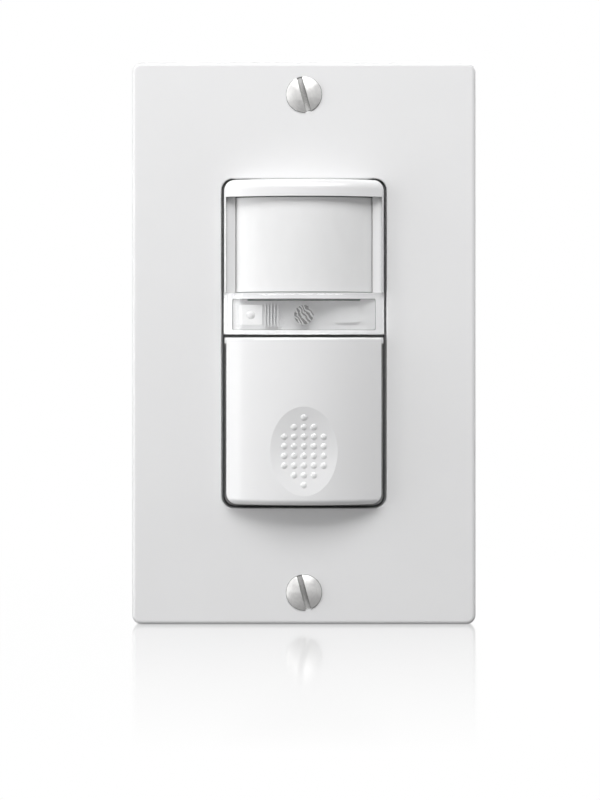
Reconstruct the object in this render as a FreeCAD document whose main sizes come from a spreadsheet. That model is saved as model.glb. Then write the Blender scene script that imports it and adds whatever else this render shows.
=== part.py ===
import FreeCAD, Part
import math
import os
import Sketcher

Vector = FreeCAD.Vector

# Driving dimensions in millimetres and degrees

DIMENSIONS = {
    # Wall plate
    "plate_width": 69.85,
    "plate_depth": 5.6,
    "plate_wall": 2.0,
    "plate_skirt": 2.0,
    "plate_corner": 1.9,
    "plate_rounding": 0.8,
    "opening_width": 33.4,
    "opening_height": 66.8,
    "opening_corner": 2.25,
    "opening_lip": 0.4,
    "collar_wall": 1.1,
    "collar_gap": 0.3,
    "plate_boss_radius": 4.6,
    "seat_gap": 0.3,
    # Plate screws
    "plate_end_reach": 6.55,
    "oval_head_radius": 3.6,
    "oval_head_rise": 1.1,
    "oval_head_rim": 0.25,
    "head_cone_angle": 41.0,
    "thread_radius": 1.75,
    "plate_screw_length": 12.7,
    "screw_slot_width": 1.15,
    "screw_slot_depth": 1.3,
    "screw_slot_tilt": 15.0,
    "slot_overrun": 0.7,
    "thread_clearance": 0.08,
    "screw_hole_clearance": 0.3,
    # Mounting strap
    "yoke_thickness": 1.3,
    "strap_setback": 0.1,
    "yoke_end_reach": 2.6,
    "yoke_field_inset": 0.65,
    "yoke_field_reach": 3.0,
    "yoke_field_corner": 2.0,
    "yoke_neck_corner": 1.0,
    "yoke_ear_inner_corner": 1.5,
    "yoke_ear_corner": 2.5,
    "yoke_neck_width": 21.0,
    "yoke_ear_width": 37.0,
    "yoke_ear_height": 7.0,
    "yoke_opening_gap": 0.3,
    "box_slot_radius": 2.15,
    "box_slot_travel": 3.0,
    # Box screws
    "box_head_radius": 3.5,
    "box_head_gap": 0.3,
    "box_slot_share": 0.6,
    "screw_gap": 0.85,
    "box_neck_radius": 1.4,
    "box_screw_length": 19.0,
    "retainer_width": 9.0,
    "retainer_thickness": 0.8,
    "retainer_gap": 2.65,
    "retainer_play": 0.1,
    # Ground screw on its folded tab
    "tab_place": 14.7,
    "tab_reach": 9.0,
    "tab_height": 8.6,
    "tab_margin": 0.6,
    "tab_root": 1.0,
    "tab_lap": 2.5,
    "ground_head_radius": 3.7,
    "ground_head_height": 2.0,
    "ground_screw_length": 5.5,
    "washer_thickness": 0.8,
    "wire_gap": 1.2,
    "ground_clamp_inset": 0.4,
    "thread_chamfer": 0.4,
    # Device face
    "face_rise": 6.0,
    "face_bow": 4.5,
    "insert_side_gap": 0.45,
    "insert_end_gap": 0.2,
    "insert_corner": 2.2,
    "visor_height": 3.5,
    "visor_rounding": 2.0,
    "rail_land": 0.45,
    "cheek_width": 1.9,
    "cheek_drop": 5.3,
    "sight_margin": 0.4,
    "small_corner": 0.4,
    "ledge_thickness": 1.0,
    "frame_wall": 1.3,
    "frame_base_front": 2.0,
    "frame_base_wall": 1.6,
    "flange_thickness": 1.6,
    "flange_corner": 2.0,
    "crossbar_height": 1.25,
    "lower_bar_height": 0.9,
    "board_gap": 1.6,
    # Lens
    "lens_recess": 1.2,
    "lens_bow": 4.3,
    "lens_thickness": 0.8,
    "lens_flange": 1.0,
    "part_gap": 0.15,
    # Clear window and what shows through it
    "window_height": 8.5,
    "window_bottom": 1.8,
    "window_thickness": 1.4,
    "window_rounding": 0.6,
    "pipe_clearance": 0.26,
    "bezel_thickness": 1.6,
    "bezel_gap": 0.08,
    "bezel_slit_height": 0.35,
    "bezel_slit_inset": 2.9,
    "sight_rise": 4.0,
    "photocell_radius": 1.95,
    "photocell_thickness": 2.0,
    "photocell_groove": 0.28,
    "photocell_groove_depth": 0.2,
    "photocell_tilt": 35.0,
    "lead_radius": 0.25,
    "lead_spacing": 2.0,
    "pipe_inset": 3.3,
    "pipe_radius": 0.95,
    "pipe_flange_width": 4.4,
    "pipe_flange_height": 4.0,
    "pipe_flange_thickness": 0.7,
    "rib_gap": 0.5,
    "rib_side_count": 2,
    "rib_pitch": 0.62,
    "rib_width": 0.28,
    "rib_height": 1.1,
    "rib_end": 0.6,
    "pad_place": 8.6,
    "pad_width": 4.8,
    "pad_height": 3.2,
    "pad_rise": 0.5,
    # Push button
    "button_side_inset": 0.55,
    "button_top_gap": 0.6,
    "button_bottom_gap": 0.8,
    "button_corner": 2.3,
    "button_wall": 1.5,
    "button_face_wall": 2.2,
    "button_skirt_gap": 1.2,
    "button_lower_rounding": 1.2,
    "button_upper_rounding": 0.5,
    "ear_width": 0.4,
    "ear_height": 1.2,
    "ear_depth": 3.8,
    "ear_drop": 0.02,
    "dish_rise": 10.9,
    "dish_depth": 0.86,
    "dish_half_width": 6.8,
    "dish_half_height": 9.0,
    "dish_bulge": 30.0,
    "dot_pitch_across": 2.0,
    "dot_pitch_down": 1.97,
    "dot_radius": 0.66,
    "dot_rise": 0.22,
    # Button hinge
    "hinge_drop": 3.2,
    "hinge_rise": 2.2,
    "pin_radius": 0.75,
    "pin_fit": 0.07,
    "pin_seat": 0.04,
    "lug_radius": 1.35,
    "lug_width": 1.5,
    "lug_side_gap": 0.5,
    "knuckle_width": 2.5,
    "knuckle_gap": 0.3,
    "pin_overhang": 0.1,
    "button_press_angle": 1.5,
    # Return spring
    "spring_place": 5.0,
    "spring_coil_radius": 1.9,
    "spring_wire_radius": 0.22,
    "spring_turns": 5.0,
    "spring_pin_radius": 1.2,
    "spring_pin_height": 2.6,
    "spring_end_gap": 0.1,
    # Logic board and what it carries
    "board_thickness": 1.6,
    "board_side_gap": 2.45,
    "board_end_gap": 1.7,
    "board_notch": 5.2,
    "peg_inset": 1.1,
    "peg_drop": 12.0,
    "peg_radius": 0.9,
    "peg_boss_radius": 1.7,
    "peg_clearance": 0.12,
    "peg_length": 2.3,
    "housing_peg_length": 1.6,
    "led_size": 3.0,
    "led_height": 1.5,
    "pir_can_radius": 4.1,
    "pir_base_radius": 4.6,
    "pir_base_height": 0.5,
    "pir_can_height": 4.2,
    "pir_can_wall": 0.3,
    "pir_can_rounding": 0.5,
    "pir_filter_width": 5.0,
    "pir_filter_height": 4.0,
    "pir_filter_thickness": 0.5,
    "pir_filter_lap": 0.4,
    "pir_pin_circle": 2.54,
    "pin_length": 3.2,
    "holder_wall": 1.4,
    "holder_height": 3.6,
    "chip_width": 6.0,
    "chip_height": 0.9,
    "chip_level": 8.5,
    "small_part_length": 2.0,
    "small_part_width": 1.25,
    "small_part_height": 0.6,
    "switch_rise": 12.6,
    "switch_width": 6.0,
    "switch_height": 3.5,
    "plunger_radius": 1.75,
    "plunger_fit": 0.08,
    "plunger_rise": 4.3,
    "plunger_depth": 0.9,
    "post_radius": 2.2,
    "root_lap": 0.4,
    "press_gap": 0.1,
    "trimmer_place": 8.5,
    "trimmer_level": 10.0,
    "trimmer_width": 6.6,
    "trimmer_height": 4.6,
    "dial_radius": 2.4,
    "dial_height": 1.5,
    "dial_sunk": 1.0,
    "dial_fit": 0.1,
    "dial_slot_width": 0.8,
    "dial_slot_depth": 0.6,
    "dial_notch": 0.7,
    # Rear housing
    "housing_side_reach": 5.55,
    "housing_end_reach": 1.1,
    "housing_depth": 33.4,
    "housing_wall": 1.8,
    "housing_floor": 2.0,
    "housing_rear_rounding": 0.9,
    "post_inset": 3.25,
    "post_drop": 5.0,
    "housing_post_radius": 2.75,
    "long_screw_radius": 1.3,
    "long_screw_clearance": 0.2,
    "long_head_radius": 2.4,
    "long_head_height": 1.7,
    "long_slot_width": 0.7,
    "counterbore_depth": 1.9,
    "counterbore_radius": 2.7,
    # Terminals
    "terminal_level": 11.0,
    "terminal_depth": 13.5,
    "pocket_height": 12.0,
    "pocket_length": 11.0,
    "pocket_depth": 5.75,
    "pocket_corner": 0.6,
    "pocket_wall": 1.2,
    "terminal_thickness": 1.0,
    "terminal_width": 9.0,
    "tail_width": 3.0,
    "tail_reach": 1.2,
    "clamp_width": 8.0,
    "terminal_head_radius": 3.7,
    "terminal_head_height": 2.1,
    "head_inset": 0.3,
    "slot_clearance": 0.15,
    # Power board and what it carries
    "power_board_gap": 2.0,
    "header_pitch": 2.54,
    "header_pins": 5,
    "header_pin_width": 0.64,
    "pin_hole_gap": 0.06,
    "header_level": 0.0,
    "header_block_height": 2.5,
    "relay_width": 19.0,
    "relay_height": 15.5,
    "relay_length": 15.5,
    "relay_gap": 0.5,
    "component_gap": 1.3,
    "relay_level": 20.0,
    "bulk_radius": 5.0,
    "bulk_length": 16.0,
    "bulk_groove_place": 2.0,
    "bulk_level": 12.0,
    "film_width": 13.0,
    "film_thickness": 6.0,
    "film_height": 12.0,
    "film_gap": 2.1,
    "film_level": 14.8,
    "choke_level": 20.0,
    "choke_radius": 4.5,
    "choke_length": 12.0,
    "choke_core_radius": 2.0,
    "choke_cheek": 1.4,
    "choke_winding_radius": 3.9,
    "varistor_radius": 4.6,
    "varistor_thickness": 3.2,
    "varistor_place": 8.0,
    "varistor_level": 6.0,
    "fuse_radius": 1.9,
    "fuse_length": 7.6,
    "fuse_place": 10.0,
    "fuse_level": 7.2,
    "bridge_width": 8.0,
    "bridge_height": 6.0,
    "bridge_thickness": 3.0,
    "bridge_place": 10.0,
    "bridge_level": 8.4,
    "body_rounding": 0.4,
}

doc = FreeCAD.newDocument("occupancy_sensor")
pieces = []


# Sizes that carry their sheet expression

class Size:
    """A number and the sheet expression that gives it."""

    def __init__(self, value, text):
        self.value = float(value)
        self.text = text

    def __add__(self, other):
        other = as_size(other)
        return Size(self.value + other.value, f"({self.text} + {other.text})")

    def __sub__(self, other):
        other = as_size(other)
        return Size(self.value - other.value, f"({self.text} - {other.text})")

    def __mul__(self, other):
        other = as_size(other)
        return Size(self.value * other.value, f"({self.text} * {other.text})")

    def __truediv__(self, other):
        other = as_size(other)
        return Size(self.value / other.value, f"({self.text} / {other.text})")

    def __neg__(self):
        return Size(-self.value, f"(-1 * {self.text})")

    def __radd__(self, other):
        return as_size(other) + self

    def __rsub__(self, other):
        return as_size(other) - self

    def __rmul__(self, other):
        return as_size(other) * self


def as_size(item):
    """Any plain number as a Size."""
    return item if isinstance(item, Size) else Size(item, repr(float(item)))


def root(item):
    """Square root of a Size."""
    return Size(math.sqrt(item.value), f"sqrt({item.text})")


def tangent(item):
    """Tangent of a Size in degrees."""
    return Size(math.tan(math.radians(item.value)), f"tan({item.text})")


class SheetSizes:
    """The sheet's sizes by name."""

    def __getattr__(self, name):
        return Size(DIMENSIONS[name], "sizes." + name)


d = SheetSizes()
ZERO = as_size(0)


def write_sheet():
    """Put every driving dimension into the spreadsheet under its own name."""
    sheet = doc.addObject("Spreadsheet::Sheet", "sizes")
    for row, (name, value) in enumerate(DIMENSIONS.items(), start=1):
        sheet.set(f"A{row}", name)
        sheet.set(f"B{row}", str(value))
        sheet.setAlias(f"B{row}", name)
    doc.recompute()


# Places that several pieces share

HALF_WIDTH = d.opening_width / 2 - d.insert_side_gap
HALF_HEIGHT = d.opening_height / 2 - d.insert_end_gap
HOUSING_HALF_WIDTH = d.opening_width / 2 + d.housing_side_reach
HOUSING_HALF_HEIGHT = d.opening_height / 2 + d.housing_end_reach
BOX_SCREW_LEVEL = HOUSING_HALF_HEIGHT + d.retainer_gap + d.retainer_width / 2
PLATE_SCREW_LEVEL = BOX_SCREW_LEVEL + d.box_head_radius + d.screw_gap + d.plate_boss_radius
PLATE_HALF_HEIGHT = PLATE_SCREW_LEVEL + d.plate_end_reach
YOKE_HALF_HEIGHT = PLATE_SCREW_LEVEL + d.yoke_end_reach
YOKE_FIELD_LEVEL = HOUSING_HALF_HEIGHT + d.yoke_field_reach
STRAP_REAR = -d.strap_setback
STRAP_FRONT = STRAP_REAR - d.yoke_thickness
BOX_HEAD_HEIGHT = d.plate_depth - d.plate_wall - d.box_head_gap + STRAP_FRONT
FRONT_TIP = -(d.plate_depth + d.face_rise)
FACE_RADIUS = (HALF_WIDTH * HALF_WIDTH + d.face_bow * d.face_bow) / (2 * d.face_bow)
FACE_CENTRE = FRONT_TIP + FACE_RADIUS
VISOR_BOTTOM = HALF_HEIGHT - d.visor_height
CHEEK_BACK = FRONT_TIP + d.cheek_drop
LENS_TIP = FRONT_TIP + d.lens_recess
LENS_EDGE = HALF_WIDTH - d.rail_land - d.cheek_width
SIGHT_EDGE = LENS_EDGE + d.sight_margin
WINDOW_TOP = d.window_bottom + d.window_height
WINDOW_INNER_RADIUS = FACE_RADIUS - d.window_thickness
SIGHT_LEVEL = d.window_bottom + d.sight_rise
PIPE_PLACE = LENS_EDGE - d.pipe_inset
BASE_FRONT = -d.frame_base_front
BUTTON_TOP = d.window_bottom - d.button_top_gap
BUTTON_HALF = HALF_WIDTH - d.button_side_inset
BUTTON_BOTTOM = -(d.opening_height / 2 - d.button_bottom_gap)
BUTTON_REAR = BASE_FRONT - d.button_skirt_gap
BUTTON_INNER_RADIUS = FACE_RADIUS - d.button_face_wall
DISH_LEVEL = BUTTON_BOTTOM + d.dish_rise
SWITCH_LEVEL = BUTTON_BOTTOM + d.switch_rise
SPRING_LEVEL = BUTTON_BOTTOM + d.spring_place
HINGE_LEVEL = BUTTON_TOP - d.hinge_drop
HINGE_DEPTH = BASE_FRONT - d.hinge_rise
LUG_PLACE = BUTTON_HALF - d.button_wall - d.lug_side_gap - d.lug_width
BOARD_FRONT = d.flange_thickness + d.board_gap
BOARD_BACK = BOARD_FRONT + d.board_thickness
BOARD_HALF_WIDTH = HOUSING_HALF_WIDTH - d.housing_wall - d.board_side_gap
BOARD_HALF_HEIGHT = HOUSING_HALF_HEIGHT - d.housing_wall - d.board_end_gap
PEG_PLACE = BOARD_HALF_WIDTH - d.peg_inset
PEG_LEVEL = BOARD_HALF_HEIGHT - d.peg_drop
POST_PLACE = HOUSING_HALF_WIDTH - d.post_inset
POST_LEVEL = HOUSING_HALF_HEIGHT - d.post_drop
PIR_LEVEL = (WINDOW_TOP + VISOR_BOTTOM) / 2
PIR_TOP = BOARD_FRONT - d.pir_base_height - d.pir_can_height
SWITCH_TOP = BOARD_FRONT - d.switch_height
PLUNGER_TOP = SWITCH_TOP - d.plunger_rise
HOUSING_BACK = d.flange_thickness + d.housing_depth
HOUSING_FLOOR = HOUSING_BACK - d.housing_floor
POWER_BACK = HOUSING_FLOOR - d.power_board_gap
POWER_FRONT = POWER_BACK - d.board_thickness
POCKET_FLOOR = HOUSING_HALF_WIDTH - d.pocket_depth
POCKET_INNER = POCKET_FLOOR - d.pocket_wall
RELAY_PLACE = POCKET_INNER - d.relay_gap - d.relay_width / 2
CHOKE_PLACE = RELAY_PLACE - d.relay_width / 2 - d.component_gap - d.choke_radius
BULK_PLACE = -(POCKET_INNER - d.component_gap - d.bulk_radius)
FILM_PLACE = BULK_PLACE + d.bulk_radius + d.film_gap + d.film_width / 2
MARGIN = 1.0
ROUND_END = 0.999
SLACK = 0.01
TERMINALS = [(1, 1), (1, -1), (-1, -1)]
DOT_ROWS = [1, 3, 5, 5, 5, 5, 3, 1]


def arc_depth(radius, across):
    """Depth of an arc about the face's centre line at a distance across."""
    return FACE_CENTRE - root(radius * radius - across * across)


PIPE_FRONT = arc_depth(WINDOW_INNER_RADIUS, PIPE_PLACE + d.pipe_flange_width / 2) + d.pipe_clearance
BEZEL_FRONT = PIPE_FRONT + d.pipe_flange_thickness


# Document helpers

def bind(item, **sizes):
    """Tie properties of a document object to sheet expressions."""
    for name, value in sizes.items():
        item.setExpression(name, as_size(value).text)


def place(item, x=None, y=None, z=None):
    """Tie the placement of a document object to sheet expressions."""
    for axis, value in (("x", x), ("y", y), ("z", z)):
        if value is not None:
            item.setExpression(f"Placement.Base.{axis}", as_size(value).text)


def new_body(name):
    """A part design body with a label of its own."""
    body = doc.addObject("PartDesign::Body", name)
    body.Label = name
    return body


def keep(item, name):
    """Register a finished object as the sub-part of that name."""
    item.Label = name
    pieces.append(item)
    return item


def new_sketch(body, name, plane, offset):
    """A sketch on one of the body's origin planes, moved along its normal."""
    sketch = body.newObject("Sketcher::SketchObject", name)
    support = [item for item in body.Origin.OriginFeatures if item.Role == plane][0]
    sketch.AttachmentSupport = (support, [""])
    sketch.MapMode = "FlatFace"
    sketch.setExpression(".AttachmentOffset.Base.z", as_size(offset).text)
    return sketch


def front_sketch(body, name, depth):
    """A sketch in X and Z, at a depth along Y."""
    return new_sketch(body, name, "XZ_Plane", -as_size(depth))


def plan_sketch(body, name, level):
    """A sketch in X and Y, at a level along Z."""
    return new_sketch(body, name, "XY_Plane", level)


def side_sketch(body, name, across):
    """A sketch in Y and Z, at a place along X."""
    return new_sketch(body, name, "YZ_Plane", across)


def point_rules(edge, vertex, x, y):
    """Dimensions of one point of a sketch from its origin, each with its expression."""
    return [(Sketcher.Constraint(kind, -1, 1, edge, vertex, value.value), value.text)
            for kind, value in (("DistanceX", x), ("DistanceY", y))]


def radius_rule(edge, radius):
    """Dimension of the radius of a circle or arc, with its expression."""
    return (Sketcher.Constraint("Radius", edge, radius.value), radius.text)


def apply_rules(sketch, rules):
    """Add dimensions to a sketch and tie them to their expressions."""
    numbers = sketch.addConstraint([rule for rule, text in rules])
    for number, (rule, text) in zip(numbers, rules):
        if text:
            sketch.setExpression(f"Constraints[{number}]", text)


def arc_between(start, end, radius, turns_left):
    """A short arc from start to end, its centre on the left of the way if it turns left."""
    gap = end.sub(start)
    half = gap.Length / 2
    side = Vector(-gap.y, gap.x, 0).normalize()
    rise = math.sqrt(max(radius * radius - half * half, 0))
    centre = start.add(gap.multiply(0.5)).add(side.multiply(rise if turns_left else -rise))
    first, last = (start, end) if turns_left else (end, start)
    angles = [math.atan2(point.y - centre.y, point.x - centre.x) for point in (first, last)]
    if angles[1] < angles[0]:
        angles[1] += 2 * math.pi
    return Part.ArcOfCircle(Part.Circle(centre, Vector(0, 0, 1), radius), angles[0], angles[1])


def trace(sketch, steps):
    """Draw a closed outline. Each step is x, y and, where an arc leaves it, a signed radius."""
    steps = [tuple(as_size(value) for value in step) for step in steps]
    edges = []
    for here, after in zip(steps, steps[1:] + steps[:1]):
        start = Vector(here[0].value, here[1].value, 0)
        end = Vector(after[0].value, after[1].value, 0)
        if len(here) == 2:
            edges.append((sketch.addGeometry(Part.LineSegment(start, end), False), 1, 2))
            continue
        left = here[2].value > 0
        arc = arc_between(start, end, abs(here[2].value), left)
        edges.append((sketch.addGeometry(arc, False), 1 if left else 2, 2 if left else 1))
    rules = []
    for place_in_row, (edge, start, end) in enumerate(edges):
        after, after_start, after_end = edges[(place_in_row + 1) % len(edges)]
        rules.append((Sketcher.Constraint("Coincident", edge, end, after, after_start), ""))
    for (edge, start, end), step in zip(edges, steps):
        rules += point_rules(edge, start, step[0], step[1])
        if len(step) == 3:
            rules.append(radius_rule(edge, step[2] if step[2].value > 0 else -step[2]))
    apply_rules(sketch, rules)


def draw_circle(sketch, x, y, radius):
    """Draw a dimensioned circle."""
    x, y, radius = as_size(x), as_size(y), as_size(radius)
    circle = Part.Circle(Vector(x.value, y.value, 0), Vector(0, 0, 1), radius.value)
    edge = sketch.addGeometry(circle, False)
    apply_rules(sketch, point_rules(edge, 3, x, y) + [radius_rule(edge, radius)])


def rounded_outline(corners):
    """Steps around an axis-aligned outline whose corners are x, y and a radius or 0."""
    steps = []
    for place_in_row, (x, y, radius) in enumerate(corners):
        x, y, radius = as_size(x), as_size(y), as_size(radius)
        if radius.value == 0:
            steps.append((x, y))
            continue
        before = corners[place_in_row - 1]
        after = corners[(place_in_row + 1) % len(corners)]
        ends = []
        for other in (before, after):
            across = as_size(other[0]).value - x.value
            along = as_size(other[1]).value - y.value
            if abs(across) > abs(along):
                ends.append((x + math.copysign(1, across) * radius, y))
            else:
                ends.append((x, y + math.copysign(1, along) * radius))
        way_in = Vector(x.value - ends[0][0].value, y.value - ends[0][1].value, 0)
        way_out = Vector(ends[1][0].value - x.value, ends[1][1].value - y.value, 0)
        turns_left = way_in.cross(way_out).z > 0
        steps.append((ends[0][0], ends[0][1], radius if turns_left else -radius))
        steps.append(ends[1])
    return steps


def draw_box(sketch, left, right, low, high, radius=0):
    """Draw a rectangle, its corners rounded if a radius is given."""
    corners = [(left, low, radius), (right, low, radius), (right, high, radius), (left, high, radius)]
    trace(sketch, rounded_outline(corners))


def pad(body, sketch, length, reverse=False):
    """Raise a sketch along its normal, or against it."""
    before = body.Shape.Volume if body.Shape.Solids else 0
    feature = body.newObject("PartDesign::Pad", sketch.Name + "_pad")
    feature.Profile = sketch
    feature.Reversed = reverse
    bind(feature, Length=length)
    doc.recompute()
    if feature.Shape.isNull() or feature.Shape.Volume <= before:
        raise RuntimeError(f"{feature.Name} adds nothing")
    return feature


def cut(body, sketch, length, reverse=False):
    """Cut a sketch into the body against its normal, or along it."""
    before = body.Shape.Volume
    feature = body.newObject("PartDesign::Pocket", sketch.Name + "_cut")
    feature.Profile = sketch
    feature.Reversed = reverse
    bind(feature, Length=length)
    doc.recompute()
    if feature.Shape.isNull() or feature.Shape.Volume >= before:
        raise RuntimeError(f"{feature.Name} removes nothing")
    return feature


def turn(body, sketch, axis):
    """Turn a sketch about one of its own axes."""
    feature = body.newObject("PartDesign::Revolution", sketch.Name + "_turned")
    feature.Profile = sketch
    feature.ReferenceAxis = (sketch, [axis])
    feature.Angle = 360
    doc.recompute()
    return feature


def round_edges(body, name, radius, chosen):
    """Round the edges of the body's tip that the test picks."""
    doc.recompute()
    base = body.Tip
    names = [f"Edge{number}" for number, edge in enumerate(base.Shape.Edges, start=1) if chosen(edge)]
    if not names:
        raise RuntimeError(f"{name} finds no edge")
    feature = body.newObject("PartDesign::Fillet", name)
    feature.Base = (base, names)
    bind(feature, Radius=radius)
    doc.recompute()
    return feature


def near(value, target):
    """Whether a number lies at a Size."""
    return abs(value - as_size(target).value) < SLACK


def middle(edge):
    """The point half-way along an edge."""
    return edge.valueAt((edge.FirstParameter + edge.LastParameter) / 2)


def on_face(edge):
    """Whether an edge follows the face's arc, other than straight up and down."""
    point = middle(edge)
    radius = math.hypot(point.x, FACE_CENTRE.value - point.y)
    return near(radius, FACE_RADIUS) and edge.BoundBox.XLength > 1


def edge_in_plane(edge, axis, target):
    """Whether every end of an edge lies at one coordinate."""
    ends = [getattr(vertex.Point, axis) for vertex in edge.Vertexes]
    box = edge.BoundBox
    flat = (box.YLength if axis == "y" else box.ZLength if axis == "z" else box.XLength) < SLACK
    return flat and all(near(end, target) for end in ends)


def add_cylinder(name, x, y, z, radius, length):
    """A cylinder along Y, from its front end."""
    item = doc.addObject("Part::Cylinder", name)
    item.Placement = FreeCAD.Placement(Vector(), FreeCAD.Rotation(Vector(1, 0, 0), -90))
    bind(item, Radius=radius, Height=length)
    place(item, x, y, z)
    return item


def add_box(name, x, y, z, width, depth, height):
    """A box centred across and along, from its front face."""
    item = doc.addObject("Part::Box", name)
    bind(item, Length=width, Width=depth, Height=height)
    place(item, as_size(x) - as_size(width) / 2, y, as_size(z) - as_size(height) / 2)
    return item


def subtract(name, base, tool):
    """One object less another."""
    item = doc.addObject("Part::Cut", name)
    item.Base = base
    item.Tool = tool
    doc.recompute()
    if item.Shape.Volume >= base.Shape.Volume:
        raise RuntimeError(f"{name} removes nothing")
    return item


def join(name, items):
    """Several objects as one solid."""
    item = doc.addObject("Part::MultiFuse", name)
    item.Shapes = items
    item.Refine = True
    return item


def group(name, items):
    """Several separate solids under one name."""
    item = doc.addObject("Part::Compound", name)
    item.Links = items
    return item


# Wall plate and its screws

def make_wall_plate():
    body = new_body("wall_plate")
    inner_face = -(d.plate_depth - d.plate_wall)
    half_width = d.plate_width / 2
    outline = front_sketch(body, "plate_outline", ZERO)
    draw_box(outline, -half_width, half_width, -PLATE_HALF_HEIGHT, PLATE_HALF_HEIGHT, d.plate_corner)
    pad(body, outline, d.plate_depth)
    round_edges(body, "plate_edge", d.plate_rounding,
                lambda edge: edge_in_plane(edge, "y", -d.plate_depth))
    hollow = front_sketch(body, "plate_hollow", ZERO)
    inside = half_width - d.plate_skirt
    inside_height = PLATE_HALF_HEIGHT - d.plate_skirt
    draw_box(hollow, -inside, inside, -inside_height, inside_height, d.plate_corner / 2)
    cut(body, hollow, d.plate_depth - d.plate_wall, True)
    collar_back = STRAP_FRONT - d.collar_gap
    collar = front_sketch(body, "plate_collar", collar_back)
    across = d.opening_width / 2 + d.collar_wall
    along = d.opening_height / 2 + d.collar_wall
    draw_box(collar, -across, across, -along, along, d.opening_corner + d.collar_wall)
    pad(body, collar, collar_back - inner_face)
    boss_back = STRAP_FRONT - d.seat_gap
    bosses = front_sketch(body, "plate_bosses", boss_back)
    for side in (1, -1):
        draw_circle(bosses, ZERO, side * PLATE_SCREW_LEVEL, d.plate_boss_radius)
    pad(body, bosses, boss_back - inner_face)
    opening = front_sketch(body, "plate_opening", ZERO)
    draw_box(opening, -d.opening_width / 2, d.opening_width / 2,
             -d.opening_height / 2, d.opening_height / 2, d.opening_corner)
    cut(body, opening, d.plate_depth, True)
    holes = front_sketch(body, "plate_screw_holes", ZERO)
    for side in (1, -1):
        draw_circle(holes, ZERO, side * PLATE_SCREW_LEVEL, d.thread_radius + d.screw_hole_clearance)
    cut(body, holes, d.plate_depth, True)
    seats = front_sketch(body, "plate_screw_seats", -d.plate_depth)
    seat_radius = d.oval_head_radius + d.part_gap / 2
    for side in (1, -1):
        draw_circle(seats, ZERO, side * PLATE_SCREW_LEVEL, seat_radius)
    seat_depth = (seat_radius - d.thread_radius - d.screw_hole_clearance) / tangent(d.head_cone_angle)
    cone = cut(body, seats, seat_depth)
    bind(cone, TaperAngle=-d.head_cone_angle)
    round_edges(body, "opening_lip", d.opening_lip, is_opening_edge)
    keep(body, "wall_plate")


def is_opening_edge(edge):
    """Whether an edge runs around the front of the plate's opening."""
    half_width = (d.opening_width / 2).value + SLACK
    half_height = (d.opening_height / 2).value + SLACK
    return edge_in_plane(edge, "y", -d.plate_depth) and all(
        abs(vertex.X) < half_width and abs(vertex.Z) < half_height
        for vertex in edge.Vertexes)


def make_plate_screw(name, level):
    body = new_body(name)
    face = -d.plate_depth
    profile = plan_sketch(body, name + "_profile", ZERO)
    head_depth = (d.oval_head_radius - d.thread_radius) / tangent(d.head_cone_angle)
    rise = d.oval_head_rise - d.oval_head_rim
    dome = (d.oval_head_radius * d.oval_head_radius + rise * rise) / (2 * rise)
    tip = face - d.oval_head_rise
    trace(profile, [
        (ZERO, tip, dome),
        (d.oval_head_radius, face - d.oval_head_rim),
        (d.oval_head_radius, face),
        (d.thread_radius, face + head_depth),
        (d.thread_radius, face + d.plate_screw_length - d.thread_radius / 3),
        (d.thread_radius * 2 / 3, face + d.plate_screw_length),
        (ZERO, face + d.plate_screw_length),
    ])
    turn(body, profile, "V_Axis")
    slot = front_sketch(body, name + "_slot", tip)
    slot.setExpression(".AttachmentOffset.Rotation.Angle", d.screw_slot_tilt.text)
    reach = d.oval_head_radius + d.slot_overrun
    draw_box(slot, -d.screw_slot_width / 2, d.screw_slot_width / 2, -reach, reach)
    cut(body, slot, d.screw_slot_depth)
    place(body, z=level)
    return body


def make_plate_screws():
    screws = [make_plate_screw("plate_screw_upper", PLATE_SCREW_LEVEL),
              make_plate_screw("plate_screw_lower", -PLATE_SCREW_LEVEL)]
    keep(group("plate_screw_pair", screws), "plate_screws")


# Mounting strap, box screws and ground screw

def yoke_corners():
    """Half of the strap's outline, from its lower right around to its upper right."""
    ear_low = YOKE_HALF_HEIGHT - d.yoke_ear_height
    field = HOUSING_HALF_WIDTH - d.yoke_field_inset
    neck = d.yoke_neck_width / 2
    ear = d.yoke_ear_width / 2
    return [
        (field, YOKE_FIELD_LEVEL, d.yoke_field_corner),
        (neck, YOKE_FIELD_LEVEL, d.yoke_neck_corner),
        (neck, ear_low, d.yoke_neck_corner),
        (ear, ear_low, d.yoke_ear_inner_corner),
        (ear, YOKE_HALF_HEIGHT, d.yoke_ear_corner),
    ]


def make_yoke():
    body = new_body("yoke")
    outline = front_sketch(body, "yoke_outline", STRAP_REAR)
    upper = yoke_corners()
    left = [(-x, z, radius) for x, z, radius in reversed(upper)]
    lower = [(x, -z, radius) for x, z, radius in reversed(upper)]
    lower_left = [(-x, -z, radius) for x, z, radius in upper]
    trace(outline, rounded_outline(upper + left + lower_left + lower))
    across = HALF_WIDTH + d.yoke_opening_gap
    along = HALF_HEIGHT + d.yoke_opening_gap
    draw_box(outline, -across, across, -along, along, d.insert_corner)
    for side in (1, -1):
        draw_circle(outline, ZERO, side * PLATE_SCREW_LEVEL, d.thread_radius + d.thread_clearance)
        level = side * BOX_SCREW_LEVEL
        draw_box(outline, -(d.box_slot_radius + d.box_slot_travel / 2),
                 d.box_slot_radius + d.box_slot_travel / 2,
                 level - d.box_slot_radius, level + d.box_slot_radius, d.box_slot_radius * ROUND_END)
        for other in (1, -1):
            draw_circle(outline, other * POST_PLACE, side * POST_LEVEL,
                        d.long_screw_radius + d.thread_clearance)
    pad(body, outline, d.yoke_thickness)
    add_ground_tab(body)
    keep(body, "yoke")


def ground_level():
    """Height of the ground screw's axis."""
    return -(YOKE_FIELD_LEVEL + d.tab_margin + d.tab_height / 2)


def ground_depth():
    """Depth of the ground screw's axis behind the strap."""
    return d.tab_reach - d.tab_height / 2


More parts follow.
